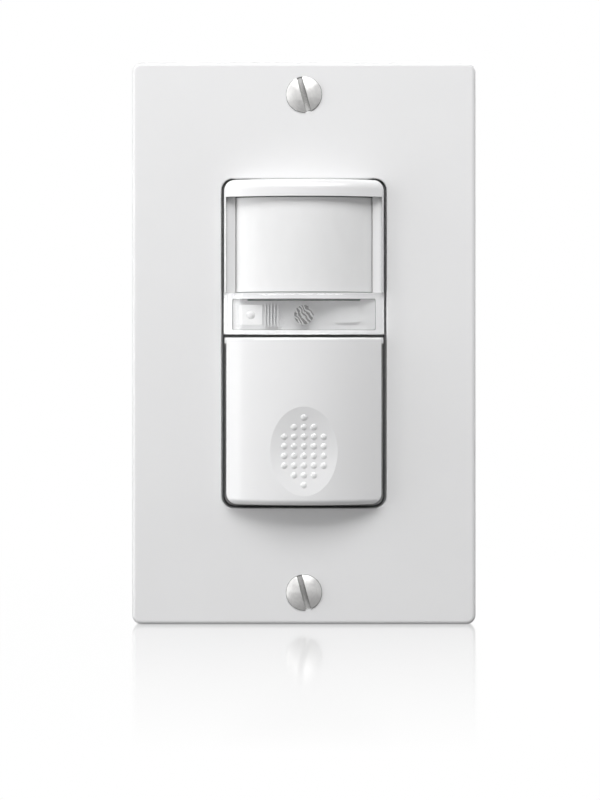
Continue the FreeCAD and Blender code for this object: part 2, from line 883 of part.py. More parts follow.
def add_ground_tab(body):
    """The tab folded back from the strap, with its tapped hole."""
    bottom = ground_level() - d.tab_height / 2
    bridge = front_sketch(body, "tab_bridge", STRAP_REAR)
    outer = -(d.tab_place + d.yoke_thickness)
    draw_box(bridge, outer, -d.yoke_neck_width / 2 + d.tab_root, bottom, -YOKE_FIELD_LEVEL + d.tab_lap)
    pad(body, bridge, d.yoke_thickness)
    tab = side_sketch(body, "tab_leaf", -d.tab_place)
    draw_box(tab, STRAP_FRONT, d.tab_reach, bottom, ground_level() + d.tab_height / 2)
    pad(body, tab, d.yoke_thickness, True)
    hole = side_sketch(body, "tab_hole", -d.tab_place)
    draw_circle(hole, ground_depth(), ground_level(), d.thread_radius + d.thread_clearance)
    cut(body, hole, d.yoke_thickness)


def make_box_screw(name, level):
    body = new_body(name)
    profile = plan_sketch(body, name + "_profile", ZERO)
    seat = STRAP_FRONT
    top = seat - BOX_HEAD_HEIGHT
    shank = STRAP_REAR + d.retainer_thickness + d.retainer_play
    edge = BOX_HEAD_HEIGHT / 2
    trace(profile, [
        (ZERO, top),
        (d.box_head_radius - edge, top, edge),
        (d.box_head_radius, top + edge),
        (d.box_head_radius, seat),
        (d.box_neck_radius, seat),
        (d.box_neck_radius, shank),
        (d.thread_radius, shank),
        (d.thread_radius, d.box_screw_length - d.thread_radius / 2),
        (d.thread_radius / 2, d.box_screw_length),
        (ZERO, d.box_screw_length),
    ])
    turn(body, profile, "V_Axis")
    slot = front_sketch(body, name + "_slot", top)
    reach = d.box_head_radius + d.slot_overrun
    draw_box(slot, -reach, reach, -d.screw_slot_width / 2, d.screw_slot_width / 2)
    cut(body, slot, BOX_HEAD_HEIGHT * d.box_slot_share)
    place(body, z=level)
    return body


def make_box_screws():
    screws = [make_box_screw("box_screw_upper", BOX_SCREW_LEVEL),
              make_box_screw("box_screw_lower", -BOX_SCREW_LEVEL)]
    keep(group("box_screw_pair", screws), "box_screws")


def make_screw_retainers():
    retainers = []
    for side, word in ((1, "upper"), (-1, "lower")):
        level = side * BOX_SCREW_LEVEL
        plate = add_box("retainer_plate_" + word, ZERO, STRAP_REAR, level,
                        d.retainer_width, d.retainer_thickness, d.retainer_width)
        hole = add_cylinder("retainer_hole_" + word, ZERO, STRAP_REAR, level,
                            d.box_neck_radius + d.thread_clearance, d.retainer_thickness)
        retainers.append(subtract("retainer_" + word, plate, hole))
    keep(group("retainer_pair", retainers), "screw_retainers")


def side_screw(name, head_radius, head_height, length):
    """A slotted screw along -X: its head lies outside x = 0 and its shank runs inwards."""
    body = new_body(name)
    profile = plan_sketch(body, name + "_profile", ZERO)
    edge = head_height / 3
    trace(profile, [
        (ZERO, ZERO),
        (-length, ZERO),
        (-length, d.thread_radius - d.thread_chamfer),
        (-length + d.thread_chamfer, d.thread_radius),
        (ZERO, d.thread_radius),
        (ZERO, head_radius),
        (head_height - edge, head_radius),
        (head_height, head_radius - edge),
        (head_height, ZERO),
    ])
    turn(body, profile, "H_Axis")
    slot = side_sketch(body, name + "_slot", head_height)
    reach = head_radius + d.slot_overrun
    draw_box(slot, -d.screw_slot_width / 2, d.screw_slot_width / 2, -reach, reach)
    cut(body, slot, head_height * d.box_slot_share)
    return body


def make_ground_screw():
    body = side_screw("ground_screw", d.ground_head_radius, d.ground_head_height, d.ground_screw_length)
    body.Placement = FreeCAD.Placement(Vector(), FreeCAD.Rotation(Vector(0, 0, 1), 180))
    seat = -(d.tab_place + d.yoke_thickness + d.wire_gap + d.washer_thickness)
    place(body, seat, ground_depth(), ground_level())
    keep(body, "ground_screw")


def make_ground_clamp():
    width = d.tab_height - 2 * d.ground_clamp_inset
    inner = -(d.tab_place + d.yoke_thickness + d.wire_gap)
    plate = doc.addObject("Part::Box", "ground_clamp_plate")
    bind(plate, Length=d.washer_thickness, Width=width, Height=width)
    place(plate, inner - d.washer_thickness, ground_depth() - width / 2, ground_level() - width / 2)
    hole = doc.addObject("Part::Cylinder", "ground_clamp_hole")
    hole.Placement = FreeCAD.Placement(Vector(), FreeCAD.Rotation(Vector(0, 1, 0), 90))
    bind(hole, Radius=d.thread_radius + d.thread_clearance, Height=d.washer_thickness)
    place(hole, inner - d.washer_thickness, ground_depth(), ground_level())
    keep(subtract("ground_clamp", plate, hole), "ground_clamp")


# Front frame

def cut_to_face(body, name, radius, low, high):
    """Cut everything in front of an arc about the face's centre line, between two levels."""
    sketch = plan_sketch(body, name, low)
    across = HALF_WIDTH + 2 * MARGIN
    depth = arc_depth(radius, across)
    front = FRONT_TIP - 2 * MARGIN
    trace(sketch, [
        (-across, front),
        (across, front),
        (across, depth, -radius),
        (-across, depth),
    ])
    cut(body, sketch, high - low, True)


def add_frame_block(body):
    """The flange behind the strap and the block that stands through it."""
    flange = front_sketch(body, "frame_flange", d.flange_thickness)
    draw_box(flange, -HOUSING_HALF_WIDTH, HOUSING_HALF_WIDTH, -HOUSING_HALF_HEIGHT, HOUSING_HALF_HEIGHT,
             d.flange_corner)
    for side in (1, -1):
        for other in (1, -1):
            draw_circle(flange, side * POST_PLACE, other * POST_LEVEL,
                        d.long_screw_radius + d.long_screw_clearance)
    pad(body, flange, d.flange_thickness - STRAP_REAR)
    block = front_sketch(body, "frame_block", ZERO)
    draw_box(block, -HALF_WIDTH, HALF_WIDTH, -HALF_HEIGHT, HALF_HEIGHT, d.insert_corner)
    pad(body, block, -FRONT_TIP)


def cut_button_room(body):
    """Everything in front of the base wall below the clear window goes."""
    room = front_sketch(body, "frame_button_room", FRONT_TIP)
    across = HALF_WIDTH + MARGIN
    draw_box(room, -across, across, -HALF_HEIGHT - MARGIN, d.window_bottom)
    cut(body, room, BASE_FRONT - FRONT_TIP)


def cut_lens_room(body):
    """The recess with a flat ledge on each side of the lens, open to the back."""
    sketch = plan_sketch(body, "frame_lens_room", WINDOW_TOP)
    rail = HALF_WIDTH - d.rail_land
    front = FRONT_TIP - 2 * MARGIN
    rear = d.flange_thickness
    trace(sketch, [
        (-rail, front),
        (rail, front),
        (rail, CHEEK_BACK),
        (LENS_EDGE, CHEEK_BACK),
        (LENS_EDGE, rear),
        (-LENS_EDGE, rear),
        (-LENS_EDGE, CHEEK_BACK),
        (-rail, CHEEK_BACK),
    ])
    cut(body, sketch, VISOR_BOTTOM - WINDOW_TOP, True)


def cut_rear_rooms(body):
    """The hollows behind the cheeks, the window and the base wall."""
    ledge = CHEEK_BACK + d.ledge_thickness
    across = HALF_WIDTH - d.frame_wall
    upper = front_sketch(body, "frame_upper_hollow", d.flange_thickness)
    draw_box(upper, -across, across, d.window_bottom + d.lower_bar_height, HALF_HEIGHT - d.frame_wall)
    cut(body, upper, d.flange_thickness - ledge, True)
    sight = front_sketch(body, "frame_sight", d.flange_thickness)
    draw_box(sight, -SIGHT_EDGE, SIGHT_EDGE, d.window_bottom + d.lower_bar_height,
             WINDOW_TOP - d.crossbar_height, d.small_corner)
    cut(body, sight, d.flange_thickness - FRONT_TIP, True)
    lower = front_sketch(body, "frame_lower_hollow", d.flange_thickness)
    base = -(d.frame_base_front - d.frame_base_wall)
    draw_box(lower, -across, across, -HALF_HEIGHT + d.frame_wall,
             d.window_bottom - d.frame_wall, d.flange_corner / 2)
    cut(body, lower, d.flange_thickness - base, True)


def cut_base_holes(body):
    """The holes for the switch plunger and the setting dials."""
    holes = front_sketch(body, "frame_base_holes", BASE_FRONT)
    draw_circle(holes, ZERO, SWITCH_LEVEL, d.plunger_radius + d.seat_gap * 2)
    half = d.trimmer_width / 2 + d.seat_gap
    for side in (1, -1):
        draw_box(holes, side * d.trimmer_place - half, side * d.trimmer_place + half,
                 -d.trimmer_level - half, -d.trimmer_level + half, d.small_corner)
    cut(body, holes, d.frame_base_wall)


def add_lugs(body):
    """The two lugs that carry the hinge pin."""
    for side, word in ((1, "right"), (-1, "left")):
        start = side * LUG_PLACE
        sketch = side_sketch(body, "frame_lug_" + word, start)
        low = HINGE_LEVEL - d.lug_radius
        high = HINGE_LEVEL + d.lug_radius
        trace(sketch, [
            (BASE_FRONT, low),
            (BASE_FRONT, high),
            (HINGE_DEPTH, high, d.lug_radius),
            (HINGE_DEPTH - d.lug_radius, HINGE_LEVEL, d.lug_radius),
            (HINGE_DEPTH, low),
        ])
        draw_circle(sketch, HINGE_DEPTH, HINGE_LEVEL, d.pin_radius + d.pin_seat)
        pad(body, sketch, d.lug_width, side < 0)


def add_frame_pegs(body):
    """The bosses that carry the logic board, each with its peg."""
    for name, rear, radius in (("frame_bosses", BOARD_FRONT, d.peg_boss_radius),
                               ("frame_pegs", BOARD_FRONT + d.peg_length, d.peg_radius)):
        sketch = front_sketch(body, name, rear)
        for side in (1, -1):
            for other in (1, -1):
                draw_circle(sketch, side * PEG_PLACE, other * PEG_LEVEL, radius)
        pad(body, sketch, rear - d.flange_thickness)


def add_spring_pin(body):
    """The pin that centres the return spring."""
    sketch = front_sketch(body, "frame_spring_pin", BASE_FRONT)
    draw_circle(sketch, ZERO, SPRING_LEVEL, d.spring_pin_radius)
    pad(body, sketch, d.spring_pin_height)


def make_front_frame():
    body = new_body("front_frame")
    add_frame_block(body)
    cut_to_face(body, "frame_face", FACE_RADIUS, -HALF_HEIGHT - MARGIN, HALF_HEIGHT + MARGIN)
    cut_button_room(body)
    round_edges(body, "visor_edge", d.visor_rounding,
                lambda edge: on_face(edge) and edge_in_plane(edge, "z", HALF_HEIGHT))
    cut_lens_room(body)
    cut_to_face(body, "frame_window_seat", WINDOW_INNER_RADIUS - d.part_gap / 3,
                d.window_bottom, WINDOW_TOP)
    cut_rear_rooms(body)
    cut_base_holes(body)
    add_lugs(body)
    add_frame_pegs(body)
    add_spring_pin(body)
    keep(body, "front_frame")


# Lens and clear window

def make_fresnel_lens():
    body = new_body("fresnel_lens")
    edge = LENS_EDGE - d.part_gap
    side = LENS_TIP + d.lens_bow
    outer = (edge * edge + d.lens_bow * d.lens_bow) / (2 * d.lens_bow)
    inner = outer - d.lens_thickness
    centre = LENS_TIP + outer
    inner_edge = edge - d.lens_thickness
    inner_side = centre - root(inner * inner - inner_edge * inner_edge)
    flange_front = CHEEK_BACK + d.ledge_thickness + d.part_gap / 2
    flange_rear = flange_front + d.lens_thickness
    flange_edge = edge + d.lens_flange
    low = WINDOW_TOP + d.part_gap
    sketch = plan_sketch(body, "lens_section", low)
    trace(sketch, [
        (edge, side, -outer),
        (-edge, side),
        (-edge, flange_front),
        (-flange_edge, flange_front),
        (-flange_edge, flange_rear),
        (-inner_edge, flange_rear),
        (-inner_edge, inner_side, inner),
        (inner_edge, inner_side),
        (inner_edge, flange_rear),
        (flange_edge, flange_rear),
        (flange_edge, flange_front),
        (edge, flange_front),
    ])
    pad(body, sketch, VISOR_BOTTOM - d.part_gap - low)
    keep(body, "fresnel_lens")


def make_light_window():
    body = new_body("light_window")
    sketch = plan_sketch(body, "window_section", d.window_bottom)
    outer = arc_depth(FACE_RADIUS, HALF_WIDTH)
    inner = arc_depth(WINDOW_INNER_RADIUS, HALF_WIDTH)
    trace(sketch, [
        (HALF_WIDTH, outer, -FACE_RADIUS),
        (-HALF_WIDTH, outer),
        (-HALF_WIDTH, inner, WINDOW_INNER_RADIUS),
        (HALF_WIDTH, inner),
    ])
    pad(body, sketch, WINDOW_TOP - d.window_bottom - d.part_gap / 3)
    round_edges(body, "window_lip", d.window_rounding, on_face)
    keep(body, "light_window")


def make_sensor_bezel():
    body = new_body("sensor_bezel")
    low = d.window_bottom + d.lower_bar_height + d.bezel_gap
    high = WINDOW_TOP - d.crossbar_height - d.bezel_gap
    rear = BEZEL_FRONT + d.bezel_thickness
    across = SIGHT_EDGE - d.bezel_gap
    plate = front_sketch(body, "bezel_plate", rear)
    slit = across - d.bezel_slit_inset
    slit_floor = high - d.bezel_slit_height
    corner = d.small_corner
    trace(plate, [
        (-across + corner, low),
        (across - corner, low, corner),
        (across, low + corner),
        (across, high - corner, corner),
        (across - corner, high),
        (slit, high),
        (slit, slit_floor),
        (-slit, slit_floor),
        (-slit, high),
        (-across + corner, high, corner),
        (-across, high - corner),
        (-across, low + corner, corner),
    ])
    for side in (1, -1):
        draw_circle(plate, side * d.lead_spacing / 2, SIGHT_LEVEL, d.lead_radius + d.thread_clearance)
    draw_circle(plate, -PIPE_PLACE, SIGHT_LEVEL, d.pipe_radius + d.part_gap)
    pad(body, plate, d.bezel_thickness)
    ribs = front_sketch(body, "bezel_ribs", BEZEL_FRONT)
    side_count = int(DIMENSIONS["rib_side_count"])
    reach = d.rib_pitch * side_count + d.rib_width / 2
    ribs_middle = -(PIPE_PLACE - d.pipe_flange_width / 2 - d.rib_gap - reach)
    for number in range(-side_count, side_count + 1):
        middle = ribs_middle + number * d.rib_pitch
        draw_box(ribs, middle - d.rib_width / 2, middle + d.rib_width / 2,
                 low + d.rib_end, slit_floor - d.rib_end)
    pad(body, ribs, d.rib_height)
    side_pad = front_sketch(body, "bezel_pad", BEZEL_FRONT)
    draw_box(side_pad, d.pad_place - d.pad_width / 2, d.pad_place + d.pad_width / 2,
             SIGHT_LEVEL - d.pad_height / 2, SIGHT_LEVEL + d.pad_height / 2, d.small_corner)
    pad(body, side_pad, d.pad_rise)
    keep(body, "sensor_bezel")


def make_photocell():
    body = new_body("photocell")
    disc = front_sketch(body, "photocell_disc", ZERO)
    draw_circle(disc, ZERO, ZERO, d.photocell_radius)
    pad(body, disc, d.photocell_thickness)
    grooves = front_sketch(body, "photocell_grooves", -d.photocell_thickness)
    grooves.setExpression(".AttachmentOffset.Rotation.Angle", (-d.photocell_tilt).text)
    pitch = d.photocell_groove * 2.4
    for number in range(-2, 3):
        shift = d.photocell_radius / 5 * (1 if number % 2 else -1)
        reach = d.photocell_radius * (0.62 if abs(number) < 2 else 0.3)
        draw_box(grooves, number * pitch - d.photocell_groove / 2, number * pitch + d.photocell_groove / 2,
                 shift - reach, shift + reach)
    cut(body, grooves, d.photocell_groove_depth)
    place(body, ZERO, BEZEL_FRONT, SIGHT_LEVEL)
    keep(body, "photocell")


def make_photocell_leads():
    leads = []
    for side, word in ((1, "right"), (-1, "left")):
        leads.append(add_cylinder("photocell_lead_" + word, side * d.lead_spacing / 2, BEZEL_FRONT,
                                  SIGHT_LEVEL, d.lead_radius, BOARD_BACK + MARGIN - BEZEL_FRONT))
    keep(group("photocell_lead_pair", leads), "photocell_leads")


def make_light_pipe():
    flange = add_box("pipe_flange", -PIPE_PLACE, PIPE_FRONT, SIGHT_LEVEL,
                     d.pipe_flange_width, d.pipe_flange_thickness, d.pipe_flange_height)
    end = BOARD_FRONT - d.led_height - d.seat_gap
    stem = add_cylinder("pipe_stem", -PIPE_PLACE, BEZEL_FRONT, SIGHT_LEVEL,
                        d.pipe_radius, end - BEZEL_FRONT)
    lens = doc.addObject("Part::Sphere", "pipe_lens")
    bind(lens, Radius=d.pipe_radius)
    place(lens, -PIPE_PLACE, PIPE_FRONT + d.pipe_radius / 3, SIGHT_LEVEL)
    keep(join("pipe_whole", [flange, stem, lens]), "light_pipe")


# Push button, its hinge and its spring

def dish_centre():
    """Depth of the thumb dish's ellipsoid centre."""
    return FRONT_TIP + d.dish_depth - d.dish_bulge


def dish_radii():
    """Half axes across and along of the ellipsoid whose rim has the dish's size."""
    sag = FACE_RADIUS - root(FACE_RADIUS * FACE_RADIUS - d.dish_half_width * d.dish_half_width)
    level = (d.dish_bulge - (d.dish_depth - sag)) / d.dish_bulge
    across = d.dish_half_width / root(1 - level * level)
    level = (d.dish_bulge - d.dish_depth) / d.dish_bulge
    along = d.dish_half_height / root(1 - level * level)
    return across, along


def cut_dish(body):
    """The shallow thumb dish."""
    before = body.Shape.Volume
    across, along = dish_radii()
    dish = body.newObject("PartDesign::SubtractiveEllipsoid", "button_dish")
    dish.Angle1 = -90
    dish.Angle2 = 90
    dish.Angle3 = 360
    bind(dish, Radius1=along, Radius2=across, Radius3=d.dish_bulge)
    dish.setExpression(".AttachmentOffset.Base.y", dish_centre().text)
    dish.setExpression(".AttachmentOffset.Base.z", DISH_LEVEL.text)
    support = [item for item in body.Origin.OriginFeatures if item.Role == "XY_Plane"][0]
    dish.AttachmentSupport = (support, [""])
    dish.MapMode = "FlatFace"
    doc.recompute()
    if body.Shape.Volume >= before:
        raise RuntimeError("the dish removes nothing")


def dot_depth(x, z):
    """Depth of the dish's surface under a dot."""
    across, along = dish_radii()
    x_share = (x * x) / (across * across)
    z_share = (z * z) / (along * along)
    return dish_centre() + d.dish_bulge * root(1 - x_share - z_share)


def make_dots():
    """The raised dots as spheres that stand out of the dish."""
    dots = []
    ball = (d.dot_radius * d.dot_radius + d.dot_rise * d.dot_rise) / (2 * d.dot_rise)
    middle_row = (len(DOT_ROWS) - 1) / 2
    for row, count in enumerate(DOT_ROWS):
        z = (middle_row - row) * d.dot_pitch_down
        for number in range(count):
            x = (number - (count - 1) / 2) * d.dot_pitch_across
            dot = doc.addObject("Part::Sphere", f"dot_{row}_{number}")
            bind(dot, Radius=ball)
            place(dot, x, dot_depth(x, z) - d.dot_rise + ball, DISH_LEVEL + z)
            dots.append(dot)
    return dots


def cut_button_corners(body):
    """Round the button's lower corners as seen from the front."""
    sketch = front_sketch(body, "button_corners", FRONT_TIP - MARGIN)
    for side in (1, -1):
        outer = side * BUTTON_HALF
        tangent_point = side * (BUTTON_HALF - d.button_corner)
        trace(sketch, [
            (outer + side * MARGIN, BUTTON_BOTTOM - MARGIN),
            (outer + side * MARGIN, BUTTON_BOTTOM + d.button_corner),
            (outer, BUTTON_BOTTOM + d.button_corner, -side * d.button_corner),
            (tangent_point, BUTTON_BOTTOM),
            (tangent_point, BUTTON_BOTTOM - MARGIN),
        ])
    cut(body, sketch, BUTTON_REAR - FRONT_TIP + 2 * MARGIN)


def button_shell():
    """The button's bowed shell with its rounded edges and its hollow."""
    body = new_body("button_shell")
    outline = front_sketch(body, "button_outline", BUTTON_REAR)
    draw_box(outline, -BUTTON_HALF, BUTTON_HALF, BUTTON_BOTTOM, BUTTON_TOP)
    pad(body, outline, BUTTON_REAR - FRONT_TIP + MARGIN)
    cut_to_face(body, "button_face", FACE_RADIUS, BUTTON_BOTTOM - MARGIN, BUTTON_TOP + MARGIN)
    round_edges(body, "button_lower_edge", d.button_lower_rounding,
                lambda edge: on_face(edge) and edge_in_plane(edge, "z", BUTTON_BOTTOM))
    round_edges(body, "button_upper_edge", d.button_upper_rounding,
                lambda edge: on_face(edge) and edge_in_plane(edge, "z", BUTTON_TOP))
    cut_button_corners(body)
    inside = BUTTON_HALF - d.button_wall
    low = BUTTON_BOTTOM + d.button_wall
    high = BUTTON_TOP - d.button_wall
    depth = arc_depth(BUTTON_INNER_RADIUS, inside)
    hollow = plan_sketch(body, "button_hollow", low)
    trace(hollow, [
        (-inside, BUTTON_REAR),
        (-inside, depth, BUTTON_INNER_RADIUS),
        (inside, depth),
        (inside, BUTTON_REAR),
    ])
    cut(body, hollow, high - low, True)
    cut_dish(body)
    return body


def add_ears(body):
    """The small ears at both ends of the button's top edge."""
    ears = front_sketch(body, "button_ears", BUTTON_REAR)
    for side in (1, -1):
        inner = side * (BUTTON_HALF - d.button_wall / 2)
        outer = side * (BUTTON_HALF + d.ear_width)
        left, right = (inner, outer) if side > 0 else (outer, inner)
        draw_box(ears, left, right, BUTTON_TOP - d.ear_height, BUTTON_TOP - d.ear_drop)
    pad(body, ears, d.ear_depth)


def add_knuckles(body):
    """The knuckles that turn on the hinge pin."""
    outer = LUG_PLACE - d.knuckle_gap
    front = arc_depth(BUTTON_INNER_RADIUS, outer) - d.root_lap
    for side, word in ((1, "right"), (-1, "left")):
        sketch = side_sketch(body, "button_knuckle_" + word, side * outer)
        low = HINGE_LEVEL - d.lug_radius
        high = HINGE_LEVEL + d.lug_radius
        trace(sketch, [
            (front, low),
            (HINGE_DEPTH, low, d.lug_radius),
            (HINGE_DEPTH + d.lug_radius, HINGE_LEVEL, d.lug_radius),
            (HINGE_DEPTH, high),
            (front, high),
        ])
        draw_circle(sketch, HINGE_DEPTH, HINGE_LEVEL, d.pin_radius + d.pin_fit)
        pad(body, sketch, d.knuckle_width, side > 0)


def add_press_post(body):
    """The post that presses the switch plunger."""
    end = PLUNGER_TOP - d.press_gap
    front = arc_depth(BUTTON_INNER_RADIUS, ZERO) - d.root_lap
    sketch = front_sketch(body, "button_post", end)
    draw_circle(sketch, ZERO, SWITCH_LEVEL, d.post_radius)
    pad(body, sketch, end - front)


def make_button_paddle():
    body = button_shell()
    add_ears(body)
    add_knuckles(body)
    add_press_post(body)
    keep(join("button_whole", [body] + make_dots()), "button_paddle")


def make_hinge_pin():
    pin = doc.addObject("Part::Cylinder", "hinge_rod")
    pin.Placement = FreeCAD.Placement(Vector(), FreeCAD.Rotation(Vector(0, 1, 0), 90))
    half = LUG_PLACE + d.lug_width + d.pin_overhang
    bind(pin, Radius=d.pin_radius, Height=2 * half)
    place(pin, -half, HINGE_DEPTH, HINGE_LEVEL)
    keep(pin, "hinge_pin")


def make_return_spring():
    body = new_body("return_spring")
    wire = d.spring_wire_radius
    rear = BASE_FRONT - wire - d.spring_end_gap
    front = arc_depth(BUTTON_INNER_RADIUS, d.spring_coil_radius) + wire + d.spring_end_gap
    sketch = plan_sketch(body, "spring_wire", ZERO)
    draw_circle(sketch, d.spring_coil_radius, front, wire)
    coil = body.newObject("PartDesign::AdditiveHelix", "spring_coil")
    coil.Profile = sketch
    coil.ReferenceAxis = (sketch, ["V_Axis"])
    coil.Mode = "height-turns-angle"
    bind(coil, Height=rear - front, Turns=d.spring_turns)
    doc.recompute()
    place(body, z=SPRING_LEVEL)
    keep(body, "return_spring")


# Boards and what they carry

def board_body(name, rear):
    """A board with notched corners for the housing's screw posts."""
    body = new_body(name)
    across = BOARD_HALF_WIDTH
    along = BOARD_HALF_HEIGHT
    notch_across = across - d.board_notch
    notch_along = along - d.board_notch
    sketch = front_sketch(body, name + "_outline", rear)
    quarter = [(across, notch_along, 0), (notch_across, notch_along, 0), (notch_across, along, 0)]
    corners = list(quarter)
    corners += [(-x, z, r) for x, z, r in reversed(quarter)]
    corners += [(-x, -z, r) for x, z, r in quarter]
    corners += [(x, -z, r) for x, z, r in reversed(quarter)]
    trace(sketch, rounded_outline(corners))
    for side in (1, -1):
        for other in (1, -1):
            draw_circle(sketch, side * PEG_PLACE, other * PEG_LEVEL, d.peg_radius + d.peg_clearance)
    for x in header_places():
        draw_circle(sketch, x, d.header_level, header_hole_radius())
    return body, sketch


def header_hole_radius():
    """Radius of a hole that takes a square pin."""
    return d.header_pin_width / root(as_size(2)) + d.pin_hole_gap


def header_places():
    """Places across of the header's pins."""
    count = int(DIMENSIONS["header_pins"])
    return [(number - (count - 1) / 2) * d.header_pitch for number in range(count)]


def pir_pin_places():
    """Places of the infrared sensor's pins."""
    return [
        (-d.pir_pin_circle, PIR_LEVEL),
        (d.pir_pin_circle, PIR_LEVEL),
        (ZERO, PIR_LEVEL - d.pir_pin_circle),
    ]


def make_logic_board():
    body, sketch = board_body("logic_board", BOARD_BACK)
    for x, z in pir_pin_places():
        draw_circle(sketch, x, z, d.lead_radius + d.part_gap)
    for side in (1, -1):
        draw_circle(sketch, side * d.lead_spacing / 2, SIGHT_LEVEL, d.lead_radius + d.part_gap)
    pad(body, sketch, d.board_thickness)
    keep(body, "logic_board")


def make_status_led():
    led = add_box("led_block", -PIPE_PLACE, BOARD_FRONT - d.led_height, SIGHT_LEVEL,
                  d.led_size, d.led_height, d.led_size)
    keep(led, "status_led")


def make_pir_can():
    body = new_body("pir_can")
    profile = plan_sketch(body, "pir_profile", ZERO)
    step = BOARD_FRONT - d.pir_base_height
    inside = d.pir_can_radius - d.pir_can_wall
    edge = d.pir_can_rounding
    trace(profile, [
        (ZERO, PIR_TOP),
        (d.pir_can_radius - edge, PIR_TOP, edge),
        (d.pir_can_radius, PIR_TOP + edge),
        (d.pir_can_radius, step),
        (d.pir_base_radius, step),
        (d.pir_base_radius, BOARD_FRONT),
        (ZERO, BOARD_FRONT),
        (ZERO, step),
        (inside, step),
        (inside, PIR_TOP + d.pir_can_wall),
        (ZERO, PIR_TOP + d.pir_can_wall),
    ])
    turn(body, profile, "V_Axis")
    sight = front_sketch(body, "pir_sight", PIR_TOP)
    draw_box(sight, -d.pir_filter_width / 2, d.pir_filter_width / 2,
             -d.pir_filter_height / 2, d.pir_filter_height / 2, d.small_corner)
    cut(body, sight, d.pir_can_wall * 2)
    place(body, z=PIR_LEVEL)
    keep(body, "pir_can")


def make_pir_filter():
    pane = add_box("pir_pane", ZERO, PIR_TOP + d.pir_can_wall, PIR_LEVEL,
                   d.pir_filter_width + 2 * d.pir_filter_lap, d.pir_filter_thickness,
                   d.pir_filter_height + 2 * d.pir_filter_lap)
    keep(pane, "pir_filter")


def make_pir_leads():
    leads = []
    for number, (x, z) in enumerate(pir_pin_places()):
        leads.append(add_cylinder(f"pir_lead_{number}", x, BOARD_FRONT, z, d.lead_radius, d.pin_length))
    keep(group("pir_lead_set", leads), "pir_leads")


def make_pir_holder():
    inner = d.pir_base_radius + d.part_gap
    front = BOARD_FRONT - d.holder_height
    ring = add_cylinder("holder_ring", ZERO, front, PIR_LEVEL, inner + d.holder_wall, d.holder_height)
    hole = add_cylinder("holder_hole", ZERO, front, PIR_LEVEL, inner, d.holder_height)
    keep(subtract("holder_whole", ring, hole), "pir_holder")


def make_microcontroller():
    chip = add_box("chip_block", ZERO, BOARD_BACK, -d.chip_level, d.chip_width, d.chip_height, d.chip_width)
    keep(chip, "microcontroller")


def make_chip_parts():
    parts = []
    for column in (-1, 1):
        for row in range(4):
            x = column * (d.chip_width / 2 + d.small_part_length * 1.5)
            z = -d.chip_level + (row - 1.5) * d.small_part_width * 2
            parts.append(add_box(f"chip_part_{column + 1}_{row}", x, BOARD_BACK, z, d.small_part_length,
                                 d.small_part_height, d.small_part_width))
    keep(group("chip_part_set", parts), "chip_parts")


def make_tact_switch():
    block = add_box("switch_block", ZERO, SWITCH_TOP, SWITCH_LEVEL, d.switch_width, d.switch_height,
                    d.switch_width)
    depth = d.plunger_depth + press_travel() + d.seat_gap
    hole = add_cylinder("switch_hole", ZERO, SWITCH_TOP, SWITCH_LEVEL,
                        d.plunger_radius + d.plunger_fit, depth)
    keep(subtract("switch_whole", block, hole), "tact_switch_body")


def press_travel():
    """How far the plunger is pressed at the button's full angle."""
    return (HINGE_LEVEL - SWITCH_LEVEL) * tangent(d.button_press_angle)


def make_tact_plunger():
    stem = add_cylinder("plunger_stem", ZERO, PLUNGER_TOP, SWITCH_LEVEL, d.plunger_radius,
                        SWITCH_TOP + d.plunger_depth - PLUNGER_TOP)
    keep(stem, "tact_plunger")


def make_trimmer(word, side):
    """One setting trimmer: its body on the board and the dial sunk in it."""
    x = side * d.trimmer_place
    z = -d.trimmer_level
    top = BOARD_FRONT - d.trimmer_height
    block = add_box(word + "_trimmer_block", x, top, z, d.trimmer_width, d.trimmer_height, d.trimmer_width)
    well = add_cylinder(word + "_trimmer_well", x, top, z, d.dial_radius + d.dial_fit,
                        d.dial_sunk + d.dial_fit)
    keep(subtract(word + "_trimmer_whole", block, well), word + "_trimmer_body")
    body = new_body(word + "_dial")
    disc = front_sketch(body, word + "_dial_disc", d.dial_sunk)
    draw_circle(disc, ZERO, ZERO, d.dial_radius)
    pad(body, disc, d.dial_height)
    slot = front_sketch(body, word + "_dial_slot", d.dial_sunk - d.dial_height)
    half = d.dial_slot_width / 2
    draw_box(slot, -half, half, -d.dial_radius * 0.7, d.dial_radius * 0.7)
    cut(body, slot, d.dial_slot_depth)
    pointer = front_sketch(body, word + "_dial_pointer", d.dial_sunk - d.dial_height)
    draw_box(pointer, -d.dial_notch, d.dial_notch, d.dial_radius * 0.5, d.dial_radius * 0.7)
    cut(body, pointer, d.dial_slot_depth / 2)
    place(body, x, top, z)
    keep(body, word + "_trimmer_dial")


def make_power_board():
    body, sketch = board_body("power_board", POWER_BACK)
    for side, level in TERMINALS:
        tail = side * (POCKET_FLOOR + d.terminal_thickness / 2)
        across = d.terminal_thickness / 2 + d.slot_clearance
        along = d.tail_width / 2 + d.slot_clearance
        draw_box(sketch, tail - across, tail + across,
                 level * d.terminal_level - along, level * d.terminal_level + along)
    pad(body, sketch, d.board_thickness)
    keep(body, "power_board")


def make_header():
    length = d.header_pins * d.header_pitch
    front = POWER_FRONT - d.header_block_height
    block = add_box("header_bar", ZERO, front, d.header_level, length, d.header_block_height,
                    d.header_block_height)
    holes = []
    pins = []
    for number, x in enumerate(header_places()):
        holes.append(add_cylinder(f"header_hole_{number}", x, front, d.header_level,
                                  header_hole_radius(), d.header_block_height))
        pins.append(add_box(f"header_pin_{number}", x, BOARD_FRONT - d.part_gap * 3, d.header_level,
                            d.header_pin_width, POWER_BACK - BOARD_FRONT + d.part_gap * 9,
                            d.header_pin_width))
    keep(subtract("header_whole", block, join("header_holes", holes)), "header_block")
    keep(group("header_pin_set", pins), "header_pins")


